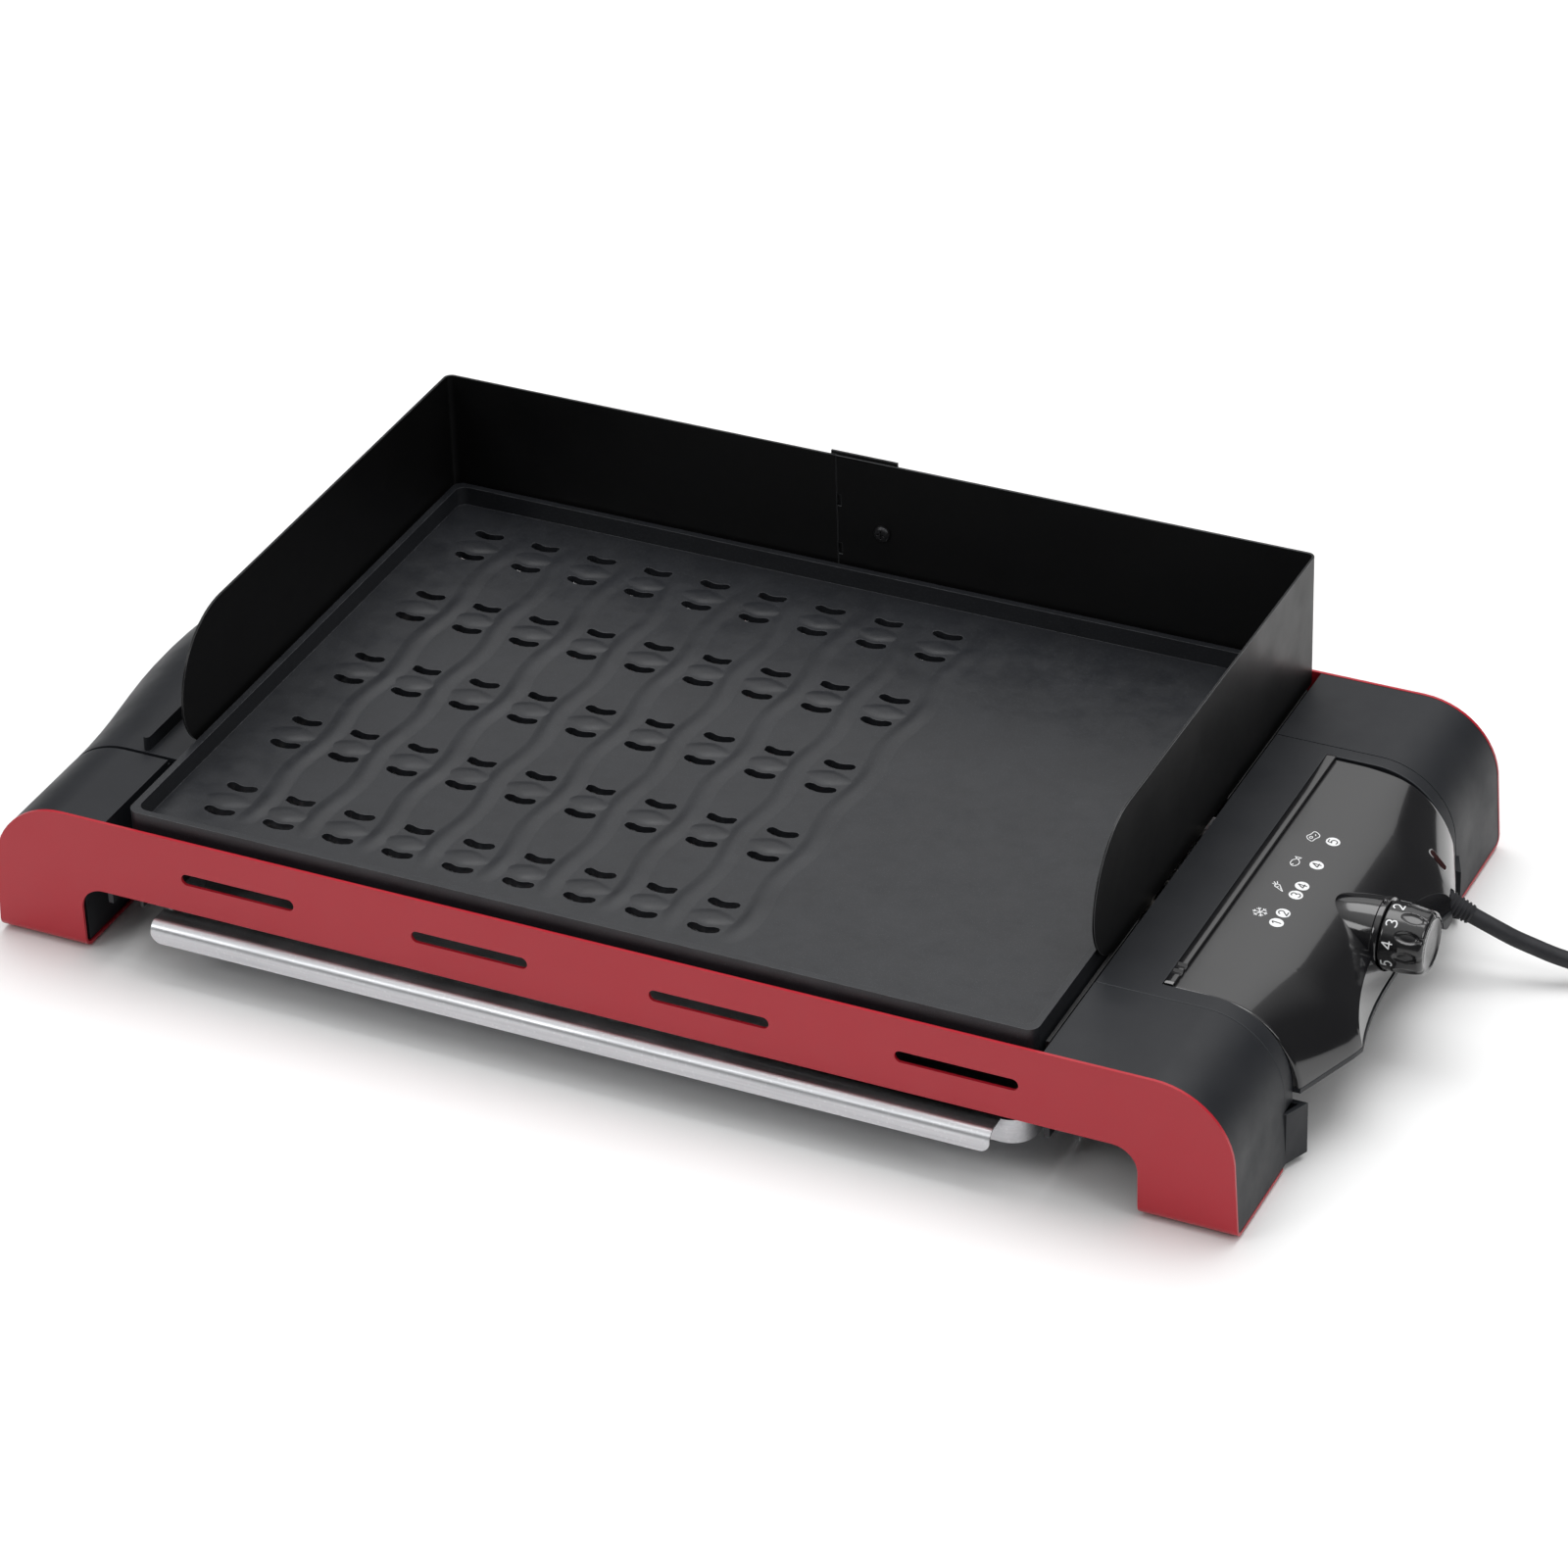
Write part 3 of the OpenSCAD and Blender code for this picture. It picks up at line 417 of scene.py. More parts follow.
def lamp_glass():
    look = Look("lamp_glass", (0.85, 0.45, 0.25), 0.1, Transmission_Weight=0.6)
    look.rough(look.noise(500, 2), 0.06, 0.2)
    look.bump(look.noise(700, 2), 0.03, 0.3)
    return look.material


def soft_black():
    look = Look("soft_black", (0.012, 0.0125, 0.015), 0.5, Specular_IOR_Level=0.4)
    look.tint(look.remap(look.noise(70, 5), 0.35, 0.7, 0.0, 0.7), (0.018, 0.019, 0.023))
    look.rough(look.noise(200, 4), 0.48, 0.66)
    look.bump(look.noise(1700, 3), 0.05, 0.4)
    return look.material


def pin_metal():
    look = Look("pin_metal", (0.72, 0.70, 0.66), 0.2, metallic=1.0)
    look.tint(look.remap(look.noise(500, 4, stretch=(1, 0.2, 1)), 0.4, 0.7, 0.0, 0.5), (0.55, 0.50, 0.42))
    look.rough(look.noise(700, 4, stretch=(1, 0.2, 1)), 0.15, 0.35)
    look.bump(look.noise(1500, 2), 0.02, 0.3)
    return look.material


def print_white():
    look = Look("print_white", (0.78, 0.79, 0.80), 0.45)
    look.tint(look.remap(look.noise(2500, 3), 0.55, 0.75, 0.0, 0.35), (0.45, 0.45, 0.46))
    look.rough(look.noise(1500, 2), 0.38, 0.55)
    look.bump(look.noise(4000, 2), 0.01, 0.3)
    return look.material


LOOKS = {
    "painted_red": red_paint(), "moulded_black": moulded_black(), "gloss_black": gloss_black(),
    "coated_plate": coated_plate(), "shield_black": shield_black(), "tray_metal": tray_metal(),
    "rail_black": coated_strip(), "steel": plated_steel(), "element_sheath": element_sheath(),
    "ceramic": ceramic(), "contact_brass": contact_brass(), "device_body": device_body(),
    "lens_red": lens_plastic(), "lamp": lamp_glass(), "knob_black": knob_black(),
    "soft_black": soft_black(), "pin_metal": pin_metal(),
}
WHITE = print_white()
DARK_STEEL = blackened_steel()
SLOT_OF = {part["node"]: part["material_slot"] for part in frame["record"]["subparts"]}
BODY_OF = {node: body for body, nodes in frame["record"]["behaviour"]["bodies"].items() for node in nodes}

# ---------------------------------------------------------------- mesh helpers

CREASE = 35  # degrees
PRINT_T = 0.07
PRINT_SUNK = 0.05


def shade(mesh, angle):
    """Smooth shading, with a crease wherever two faces meet at more than the angle."""
    mesh.shade_smooth()
    mesh.set_sharp_from_angle(angle=math.radians(angle))


def mesh_piece(name, bm, slot, body, replaces=(), look=None, smooth=CREASE):
    """Turns a bmesh in metres into a piece that rides on a body. The white prints have no slot."""
    mesh = bpy.data.meshes.new(name)
    bm.to_mesh(mesh)
    bm.free()
    shade(mesh, smooth)
    mesh.materials.append(look or LOOKS[slot])
    piece = bpy.data.objects.new(name, mesh)
    bpy.context.scene.collection.objects.link(piece)
    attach(piece, body)
    if replaces:
        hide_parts(*replaces)
    return piece


def softened(node, width, segments=2, angle=50, look=None):
    """A copy of a CAD node with its sharp edges rounded, and those edges marked for the materials' painted
    highlight (on the plate, partly wear).
    """
    bm = bmesh.new()
    bm.from_mesh(frame["nodes"][node].data)
    bmesh.ops.remove_doubles(bm, verts=bm.verts, dist=2e-6)
    bmesh.ops.dissolve_limit(bm, angle_limit=math.radians(0.4), verts=bm.verts, edges=bm.edges)
    sharp = [e for e in bm.edges if e.is_manifold and e.calc_face_angle(0) > math.radians(angle)]
    mark = bm.faces.layers.float.new("edge")
    made = bmesh.ops.bevel(bm, geom=sharp, offset=width * MM, segments=segments, profile=0.5, affect="EDGES",
                           clamp_overlap=True)
    # the new bevel faces get the edge mark, which the materials lighten as a painted highlight
    for face in made["faces"]:
        face[mark] = 1.0
    bmesh.ops.triangulate(bm, faces=[f for f in bm.faces if len(f.verts) > 4])
    piece = mesh_piece(node + "_detailed", bm, SLOT_OF[node], BODY_OF[node], [node], look)
    weighted = piece.modifiers.new("even_normals", "WEIGHTED_NORMAL")
    weighted.keep_sharp = True
    weighted.weight = 80
    return piece


def dress(node):
    """A CAD node that keeps its own mesh gets its material."""
    piece = frame["nodes"][node]
    piece.data.materials.clear()
    piece.data.materials.append(LOOKS[SLOT_OF[node]])
    shade(piece.data, CREASE)


def grid_faces(bm, rows, closed_rows=False, closed_cols=False):
    """Quads between rows of vertices."""
    down = len(rows) if closed_rows else len(rows) - 1
    across = len(rows[0]) if closed_cols else len(rows[0]) - 1
    for i in range(down):
        a, b = rows[i], rows[(i + 1) % len(rows)]
        for j in range(across):
            k = (j + 1) % len(a)
            bm.faces.new([a[j], a[k], b[k], b[j]])


def vert_rows(bm, rings):
    """Rows of new vertices at rings of places in the middle frame."""
    return [[bm.verts.new(spot(*place)) for place in ring] for ring in rings]


def add_loft(bm, rings):
    """Adds a closed loft through rings of places, each end filled with one face."""
    rows = vert_rows(bm, rings)
    grid_faces(bm, rows, closed_cols=True)
    bm.faces.new(reversed(rows[0]))
    bm.faces.new(rows[-1])


def closed_loft(rings):
    """A bmesh with one closed loft in it."""
    bm = bmesh.new()
    add_loft(bm, rings)
    bmesh.ops.recalc_face_normals(bm, faces=bm.faces)
    return bm


def span(low, high, count):
    return [low + (high - low) * i / count for i in range(count + 1)]


def round_angles(count):
    """Angles all the way round, in radians, without the first one again at the end."""
    return span(0, math.tau * (count - 1) / count, count - 1)


def turned(profile, axis_y, axis_z, steps):
    """Rings of a shape turned about a line along X, from (x, radius) pairs."""
    angles = [2 * math.pi * k / steps for k in range(steps)]
    return [[(x, axis_y + r * math.cos(a), axis_z + r * math.sin(a)) for a in angles] for x, r in profile]


def carve(bm, cutter, operation="DIFFERENCE"):
    """The exact boolean of two closed bmeshes, both of which it uses up."""
    objects = []
    for name, part in (("carved", bm), ("cutter", cutter)):
        bmesh.ops.recalc_face_normals(part, faces=part.faces)
        mesh = bpy.data.meshes.new(name)
        part.to_mesh(mesh)
        part.free()
        objects.append(bpy.data.objects.new(name, mesh))
        bpy.context.scene.collection.objects.link(objects[-1])
    modifier = objects[0].modifiers.new("carve", "BOOLEAN")
    modifier.object = objects[1]
    modifier.operation = operation
    modifier.solver = "EXACT"
    modifier.use_self = operation == "UNION"
    result = bmesh.new()
    result.from_mesh(objects[0].evaluated_get(bpy.context.evaluated_depsgraph_get()).to_mesh())
    for thing in objects:
        mesh = thing.data
        bpy.data.objects.remove(thing)
        bpy.data.meshes.remove(mesh)
    return result


def ribbon(bm, points, width, surface, thick=PRINT_T, closed=False):
    """A printed line along points (u, v), laid on a surface(u, v, height) with a closed section."""
    count = len(points)
    rows = []
    for i in range(count):
        before = points[i - 1] if i or closed else points[0]
        after = points[(i + 1) % count] if i < count - 1 or closed else points[-1]
        du, dv = after[0] - before[0], after[1] - before[1]
        size = math.hypot(du, dv) or 1
        nu, nv = -dv / size * width / 2, du / size * width / 2
        u, v = points[i]
        rows.append([bm.verts.new(surface(u + nu * s, v + nv * s, h))
                     for s, h in ((-1, -PRINT_SUNK), (-1, thick), (1, thick), (1, -PRINT_SUNK))])
    grid_faces(bm, rows, closed_rows=closed, closed_cols=True)
    if not closed:
        bm.faces.new(reversed(rows[0]))
        bm.faces.new(rows[-1])


def arc(u, v, ru, rv, start, end, steps=14):
    """Points along an ellipse, from start to end in degrees."""
    return [(u + ru * math.cos(math.radians(a)), v + rv * math.sin(math.radians(a)))
            for a in span(start, end, steps)]


def polyline(points, step=0.35):
    """Points every step or so along straight strokes."""
    path = [points[0]]
    for (u0, v0), (u1, v1) in zip(points, points[1:]):
        pieces = max(1, round(math.hypot(u1 - u0, v1 - v0) / step))
        path += [(u0 + (u1 - u0) * i / pieces, v0 + (v1 - v0) * i / pieces) for i in range(1, pieces + 1)]
    return path


# strokes of each digit in a box two wide and three high about its middle
DIGITS = {
    "0": [arc(0, 0, 1, 1.5, 0, 360, 28)],
    "1": [polyline([(-0.7, 0.9), (0.15, 1.5), (0.15, -1.5)], 0.2)],
    "2": [arc(0, 0.6, 0.95, 0.9, 170, -40, 14) + polyline([(0.62, -0.05), (-0.95, -1.5), (1.0, -1.5)], 0.2)],
    "3": [arc(-0.05, 0.72, 0.85, 0.78, 150, -80, 12) + arc(-0.05, -0.72, 1.0, 0.78, 80, -150, 14)],
    "4": [polyline([(0.45, -1.5), (0.45, 1.5), (-1.05, -0.6), (1.1, -0.6)], 0.2)],
    "5": [polyline([(0.85, 1.5), (-0.75, 1.5), (-0.85, 0.15)], 0.2)
          + arc(-0.05, -0.5, 0.98, 1.0, 140, -140, 16)],
}


def write_digit(bm, digit, size, width, surface, thick=PRINT_T):
    for stroke in DIGITS[digit]:
        ribbon(bm, [(u * size, v * size) for u, v in stroke], width, surface, thick)


# ---------------------------------------------------------------- pieces

BEVELS = {
    "front_panel": 0.45, "rear_panel": 0.45, "left_housing": 0.5, "right_housing": 0.5,
    "right_bay_cover": 0.45, "left_grip_cover": 0.45, "windshield_left": 0.3, "windshield_right": 0.3,
    "drip_tray": 0.25, "grill_plate": 0.7, "controller_bottom_shell": 0.5, "left_tray_rail": 0.3,
    "right_tray_rail": 0.3,
    "windshield_screw": 0.12, "windshield_nut": 0.12, "terminal_guard": 0.3, "rubber_feet": 0.3,
    "rail_screws": 0.25, "cover_screws": 0.25, "foot_screws": 0.2,
}
REBUILT = ("power_cord", "cord_coil", "cord_tail", "controller_top_shell", "knob", "strain_relief",
           "plug_body")
for node_name, width in BEVELS.items():
    softened(node_name, width, look=DARK_STEEL if node_name == "windshield_screw" else None)

# ---- controller: the curved top shell

BAY_X, BAY_Y0, BAY_Y1, BAY_Z = 240, -96, 98, 33
SHELL_X, SHELL_A, SHELL_H, SHELL_Z0 = 250, 52, 39, 35.5
FULLNESS = 0.1
SHOULDER_Y, SHOULDER, SHOULDER_BLEND = 57, 15, 8
FACET_X0, FACET_RISE, FACET_SLOPE, FACET_POWER = 309.6, 7, 0.235, 2.4
SIDE_A = 86  # degrees from the top, where the dome ends in an upright skirt
WALL = 2.5
KNOB_Z, KNOB_X0, KNOB_X1, KNOB_R, KNOB_FRONT_R = 55, 306.3, 326, 15.4, 13.9
WELL_R = KNOB_R + 0.8
SHAFT_R = 3
LENS_Y, LENS_A, LENS_TILT = 67, 63, 48
LENS_HALF_L, LENS_HALF_W = 5.55, 1.55
POSTS = [(x, y) for x in (250, 290) for y in (-80, 80)]
POST_R, SCREW_HOLE_R = 4, 1.5
PLUG_HOLES = ((-30, 62.5, 4.3), (30, 62.5, 4.3), (0, 57.5, 3.3))  # Y, Z and radius: two pins, one probe
RELIEF_HOLE = ((0, 6.25), (1, 4.65))
ROUNDED_ENDS = [(0.0, 0.9), (0.12, 0.5), (0.45, 0.14), (0.9, 0.0)]  # along Y, and how far the section shrinks
RING_R = 16.35
COLLAR = [
    (272, 9.0), (278, 11.9), (285, 14.0), (293, 15.3), (299, 15.8), (302.6, 15.9), (303, 16.25),
    (303.4, RING_R), (305.2, RING_R), (305.6, 16.2), (305.8, 15.9), (305.8, SHAFT_R + 0.1),
    (272, SHAFT_R + 0.1),
]
POINTER_X, POINTER_R = 304.3, 1.4
BAR_W, BAR_Z0, BAR_Z1, BAR_R = 5, 69.5, 74, 0.7
NOTCHES = (BAY_Y0 + 9, BAY_Y0 + 14)
NOTCH_HALF, NOTCH_DEPTH = 1.1, 0.9
ICON_X, ICON_LINE = 257.6, 0.42
DISC_X, DISC_DIGIT, DISC_LINE, DISC_DIGIT_T = 266.8, 1.35, 0.55, 0.14
DISC_RINGS = ((3.15, -PRINT_SUNK), (3.15, 0.05), (3.0, PRINT_T), (2.0, PRINT_T), (1.0, PRINT_T))


def swell(y):
    """How far the shell's lower edge stands out at y."""
    a = abs(y) - SHOULDER_Y
    slope = SHOULDER / (BAY_Y1 - SHOULDER_Y)
    if a < -SHOULDER_BLEND:
        return SHOULDER
    if a < SHOULDER_BLEND:
        return SHOULDER - slope * (a + SHOULDER_BLEND) ** 2 / (4 * SHOULDER_BLEND)
    return SHOULDER - slope * a


def shell_free(y, a, t=0.0):
    """The shell's dome before its face is cut back."""
    s = math.sin(math.radians(a))
    fuller = 1 + FULLNESS * math.sin(math.radians(2 * a)) ** 2
    x = SHELL_X + (SHELL_A - t) * s + swell(y) * s ** 3
    return x, BAY_Z + (SHELL_H - t) * math.cos(math.radians(a)) * fuller


def facet_x(y, z):
    """The face that the dome is cut back to."""
    return FACET_X0 + FACET_RISE * (abs(y) / SHOULDER_Y) ** FACET_POWER - FACET_SLOPE * (z - BAY_Z)


def shell_point(y, a, t=0.0):
    """A place on the shell, a degrees from its top and t below its outside."""
    x, z = shell_free(y, a, t)
    return min(x, facet_x(y, z) - t), y, z


def crease_angle(y, t=0.0):
    """Where the dome meets the face that is cut back."""
    low, high = 30.0, SIDE_A
    for _ in range(24):
        middle = (low + high) / 2
        x, z = shell_free(y, middle, t)
        low, high = (middle, high) if x < facet_x(y, z) - t else (low, middle)
    return min(low, SIDE_A - 0.5)


def shell_section(y, t, z0, fine):
    """A section of the shell at y, shrunk by t, with points close to both sides of its crease."""
    crease = crease_angle(y, t)
    above, below = (44, 16) if fine else (14, 6)
    angles = span(0, crease - 0.7, above) + [crease - 0.2, crease, min(crease + 0.2, SIDE_A - 0.2)]
    angles += span(min(crease + 0.7, SIDE_A - 0.1), SIDE_A, below)
    ring = [(BAY_X + t, y, z0), (BAY_X + t, y, BAY_Z + SHELL_H - t)] + [shell_point(y, a, t) for a in angles]
    return ring + [(shell_point(y, SIDE_A, t)[0], y, z0)]


def shell_surface(x, y, height=0.0):
    """A place above the dome's surface, in the middle frame."""
    low, high = 0.0, 80.0
    for _ in range(30):
        middle = (low + high) / 2
        low, high = (middle, high) if shell_free(y, middle)[0] < x else (low, middle)

    def at(y, a):
        fx, fz = shell_free(y, a)
        return Vector((fx, y, fz))

    here = at(y, low)
    normal = (at(y + 0.5, low) - at(y - 0.5, low)).cross(at(y, low - 0.5) - at(y, low + 0.5)).normalized()
    return here + normal * height * (1 if normal.z > 0 else -1)


def lens_frame():
    """The place and tilt of the indicator lens."""
    return Matrix.Translation(shell_point(LENS_Y, LENS_A)) @ Matrix.Rotation(math.radians(LENS_TILT), 4, "Y")


def pill(half_length, half_width, steps=10):
    ends = arc(half_length - half_width, 0, half_width, half_width, -90, 90, steps)
    return ends + [(-u, -v) for u, v in ends]


def cone_rings(start, end, stations, steps):
    """Rings along the line from start to end, from (part of the way, radius) pairs."""
    along = (end - start).normalized()
    side = along.cross(Vector((0, 0, 1))).normalized()
    up = side.cross(along)
    return [[tuple(start + (end - start) * t + r * (math.cos(a) * side + math.sin(a) * up))
             for a in round_angles(steps)] for t, r in stations]


def relief_ends():
    """Both ends of the cord's sleeve, in the middle frame."""
    return Vector(RELIEF_START) - FRAME_SHIFT, Vector(RELIEF_END) - FRAME_SHIFT


def add_posts(bm, radius, low, high, steps):
    """An upright cylinder at each of the shell's four screws."""
    for x, y in POSTS:
        add_loft(bm, [[(x + radius * math.cos(a), y + radius * math.sin(a), z) for a in round_angles(steps)]
                      for z in (low, high)])


def shell_body():
    """The shell before its holes: the dome, hollowed out round its screw posts and the dial's well."""
    low_end = [(BAY_Y0 + inward, t) for inward, t in ROUNDED_ENDS]
    high_end = [(BAY_Y1 - inward, t) for inward, t in reversed(ROUNDED_ENDS)]
    middle = [(y, 0.0) for y in span(BAY_Y0 + 2, BAY_Y1 - 2, 150)]
    outer = closed_loft([shell_section(y, t, SHELL_Z0, True) for y, t in low_end + middle + high_end])
    cavity = closed_loft([shell_section(y, WALL, SHELL_Z0 - 5, False)
                          for y in span(BAY_Y0 + WALL, BAY_Y1 - WALL, 30)])
    cores = bmesh.new()
    add_loft(cores, turned([(290, WELL_R + WALL), (330, WELL_R + WALL)], 0, KNOB_Z, 64))
    add_posts(cores, POST_R, 20, 80, 32)
    return carve(outer, carve(cavity, cores))


def make_top_shell():
    shell = shell_body()
    cutters = bmesh.new()
    add_loft(cutters, turned([(KNOB_X0 - 0.5, WELL_R), (330, WELL_R)], 0, KNOB_Z, 128))
    to_frame = lens_frame()
    add_loft(cutters, [[tuple(to_frame @ Vector((u, v, w))) for u, v in pill(LENS_HALF_L, LENS_HALF_W)]
                       for w in (-5.0, 5.0)])
    for y, z, r in PLUG_HOLES:
        add_loft(cutters, turned([(BAY_X - 2, r), (BAY_X + 4, r)], y, z, 40))
    add_loft(cutters, cone_rings(*relief_ends(), RELIEF_HOLE, 48))
    add_posts(cutters, SCREW_HOLE_R, 30, 44, 24)
    mesh_piece("controller_top_shell_detailed", carve(shell, cutters), "gloss_black", "controller",
               ["controller_top_shell"], smooth=32)


def make_collar():
    """The dial's collar: its fairing, and its ring with the pointer bump."""
    trim = bmesh.new()
    grid_faces(trim, vert_rows(trim, turned(COLLAR, 0, KNOB_Z, 128)), closed_rows=True, closed_cols=True)
    bump = bmesh.ops.create_icosphere(trim, subdivisions=3, radius=POINTER_R * MM)
    bmesh.ops.translate(trim, verts=bump["verts"], vec=spot(POINTER_X, 0, KNOB_Z + RING_R))
    bmesh.ops.recalc_face_normals(trim, faces=trim.faces)
    mesh_piece("knob_collar", trim, "gloss_black", "controller")


def make_pull_bar():
    """The bar along the controller's inner edge, with rounded edges and two small notches."""
    low_x, high_x, r = BAY_X, BAY_X + BAR_W, BAR_R
    outline = []
    for cx, cz, start in ((high_x - r, BAR_Z1 - r, 0), (low_x + r, BAR_Z1 - r, 90),
                          (low_x + r, BAR_Z0 + r, 180), (high_x - r, BAR_Z0 + r, 270)):
        outline += arc(cx, cz, r, r, start, start + 90, 4)
    rings = []
    for y in span(BAY_Y0, BAY_Y1, 194):
        dip = NOTCH_DEPTH if any(abs(y - at) < NOTCH_HALF for at in NOTCHES) else 0.0
        shrink = 0.5 if y in (BAY_Y0, BAY_Y1) else 0.0
        rings.append([(min(max(u, low_x + shrink), high_x - shrink), y, min(v, BAR_Z1 - dip - shrink))
                      for u, v in outline])
    mesh_piece("pull_bar", closed_loft(rings), "gloss_black", "controller")


def on_shell(x0, y0):
    """A surface for prints round a place on the dome, their tops towards the bay."""
    return lambda u, v, height: spot(*shell_surface(x0 - v, y0 + u, height + 0.02))


# each sign's place along Y, and its strokes
ICONS = {
    "frozen": (-28.8, [
        polyline([(0, -3.4), (0, 3.4)]), polyline([(-3, -1.7), (3, 1.7)]), polyline([(-3, 1.7), (3, -1.7)]),
        polyline([(-1, 2.9), (0, 2), (1, 2.9)]), polyline([(-1, -2.9), (0, -2), (1, -2.9)]),
        polyline([(1.9, 2.3), (1.75, 1), (3, 0.6)]), polyline([(-1.9, 2.3), (-1.75, 1), (-3, 0.6)]),
        polyline([(1.9, -2.3), (1.75, -1), (3, -0.6)]), polyline([(-1.9, -2.3), (-1.75, -1), (-3, -0.6)])]),
    "vegetables": (-7.3, [
        polyline([(-0.4, 1.6), (-3.0, -3.2), (1.3, -0.2), (1.2, 1.2), (-0.4, 1.6)]),
        polyline([(0.6, 1.4), (1.2, 3.2)]), polyline([(0.9, 1.1), (2.6, 2.9)]),
        polyline([(1.2, 0.7), (3.4, 1.7)]), polyline([(-1.4, -1.4), (-0.6, -1.7)]),
        polyline([(-0.9, 0.2), (0.1, -0.2)])]),
    "fish": (13.3, [
        arc(-0.5, -1.3, 3.2, 3.2, 25, 155, 20), arc(-0.5, 1.3, 3.2, 3.2, 205, 335, 20),
        polyline([(2.3, 0), (3.9, 1.5), (3.9, -1.5), (2.3, 0)]), arc(-2.1, 0.4, 0.25, 0.25, 0, 360, 8)]),
    "steak": (35.1, [
        [(3.2 * math.cos(a) * (1 + 0.18 * math.cos(2 * a)), 2.3 * math.sin(a) + 0.5 * math.cos(3 * a))
         for a in span(0, math.tau, 40)],
        arc(-1.1, 0.6, 0.85, 0.65, 0, 360, 16), polyline([(0.7, -0.9), (1.9, -0.3)])]),
}
DISCS = ((-32.9, "1"), (-25.0, "2"), (-9.9, "3"), (-2.4, "4"), (15.2, "4"), (35.2, "5"))


def make_prints():
    white = bmesh.new()
    dark = bmesh.new()
    for y, strokes in ICONS.values():
        for stroke in strokes:
            ribbon(white, stroke, ICON_LINE, on_shell(ICON_X, y))
    for y, digit in DISCS:
        place = on_shell(DISC_X, y)
        rows = [[white.verts.new(place(r * math.cos(a), r * math.sin(a), h)) for a in round_angles(36)]
                for r, h in DISC_RINGS]
        grid_faces(white, rows, closed_cols=True)
        white.faces.new(rows[-1])
        white.faces.new(reversed(rows[0]))
        write_digit(dark, digit, DISC_DIGIT, DISC_LINE, place, DISC_DIGIT_T)
    mesh_piece("dial_guide_prints", white, None, "controller", look=WHITE)
    mesh_piece("dial_guide_digits", dark, "knob_black", "controller")


def make_lens_outline():
    outline = bmesh.new()
    to_frame = lens_frame()
    ribbon(outline, pill(LENS_HALF_L + 0.2, LENS_HALF_W + 0.2), 0.22,
           lambda u, v, h: spot(*(to_frame @ Vector((u, v, h * 2 + 0.12)))), closed=True)
    mesh_piece("lens_outline", outline, None, "controller", look=WHITE)


make_top_shell()
make_collar()
make_pull_bar()
make_prints()
make_lens_outline()

# ---- knob

KNOB_MARKS = ((0, "2"), (1, "3"), (2, "4"), (3, "5"), (-1, "1"), (-2, "0"))
MARK_STEP = 36
KNOB_STEPS = 320
BAND_L = 9  # the straight band that holds the digits
ROUND_L, ROUND_DROP = 2.4, 2.2  # the rounded front edge
DIMPLE_X, DIMPLE_HALF_L, DIMPLE_HALF_W, DIMPLE_DEPTH = 12.4, 5.6, 2.8, 0.95
FACE_RINGS = ((11.2, 0), (10.7, 0.25), (6.0, 0.45), (0.6, 0.5))  # radius, and how far the face is dished
BORE_L = 14


def knob_radius(x, angle):
    """The knob's outer radius, dimpled between the marks."""
    radius = KNOB_R
    if x >= KNOB_X0 + BAND_L:
        radius += (KNOB_FRONT_R + 0.55 - KNOB_R) * (x - KNOB_X0 - BAND_L) / (KNOB_X1 - 3 - KNOB_X0 - BAND_L)
    off = (angle / MARK_STEP - 0.5) % 1.0
    across = min(off, 1 - off) * math.radians(MARK_STEP) * radius
    reach = 1 - ((x - (KNOB_X0 + DIMPLE_X)) / DIMPLE_HALF_L) ** 2 - (across / DIMPLE_HALF_W) ** 2
    return radius - (DIMPLE_DEPTH * min(1.0, reach * 1.7) ** 0.8 if reach > 0 else 0.0)


def round_knob(x, r, angle):
    """A place at radius r from the dial's axis, its angle in radians from the top."""
    return spot(x, -r * math.sin(angle), KNOB_Z + r * math.cos(angle))


def make_knob():
    edge = KNOB_X1 - ROUND_L
    stations = [(KNOB_X0, -0.7), (KNOB_X0 + 0.25, -0.25), (KNOB_X0 + 0.8, 0.0)]
    stations += [(x, 0.0) for x in span(KNOB_X0 + 1.3, edge, 56)]
    stations += [(edge + ROUND_L * math.sin(a), -ROUND_DROP * (1 - math.cos(a)))
                 for a in span(0.2, math.pi / 2, 9)]
    bm = bmesh.new()
    degrees = [360 * k / KNOB_STEPS for k in range(KNOB_STEPS)]
    rows = [[bm.verts.new(round_knob(x, knob_radius(min(x, edge), angle) + inset, math.radians(angle)))
             for angle in degrees] for x, inset in stations]
    rows += [[bm.verts.new(round_knob(KNOB_X1 - dish, r, math.radians(angle))) for angle in degrees]
             for r, dish in FACE_RINGS]
    bore = [(KNOB_X0, SHAFT_R + 0.6), (KNOB_X0 + 0.6, SHAFT_R), (KNOB_X0 + BORE_L, SHAFT_R),
            (KNOB_X0 + BORE_L, 0.6)]
    inner = [[bm.verts.new(round_knob(x, r, math.radians(angle))) for angle in degrees]
             for x, r in reversed(bore)]
    grid_faces(bm, rows, closed_cols=True)
    bm.faces.new(rows[-1])
    grid_faces(bm, inner + [rows[0]], closed_cols=True)
    bm.faces.new(inner[0])
    bmesh.ops.recalc_face_normals(bm, faces=bm.faces)
    mesh_piece("knob_detailed", bm, "knob_black", "dial", ["knob"], smooth=40)


def on_knob(mark):
    """A surface for the digit at one of the knob's marks."""
    return lambda u, v, height: round_knob(KNOB_X0 + 4.2 - v, KNOB_R + height,
                                           math.radians(MARK_STEP * mark) - u / KNOB_R)


def make_knob_digits():
    marks = bmesh.new()
    for mark, digit in KNOB_MARKS:
        write_digit(marks, digit, 1.6, 0.6, on_knob(mark))
    mesh_piece("knob_digits", marks, None, "dial", look=WHITE)


make_knob()
make_knob_digits()

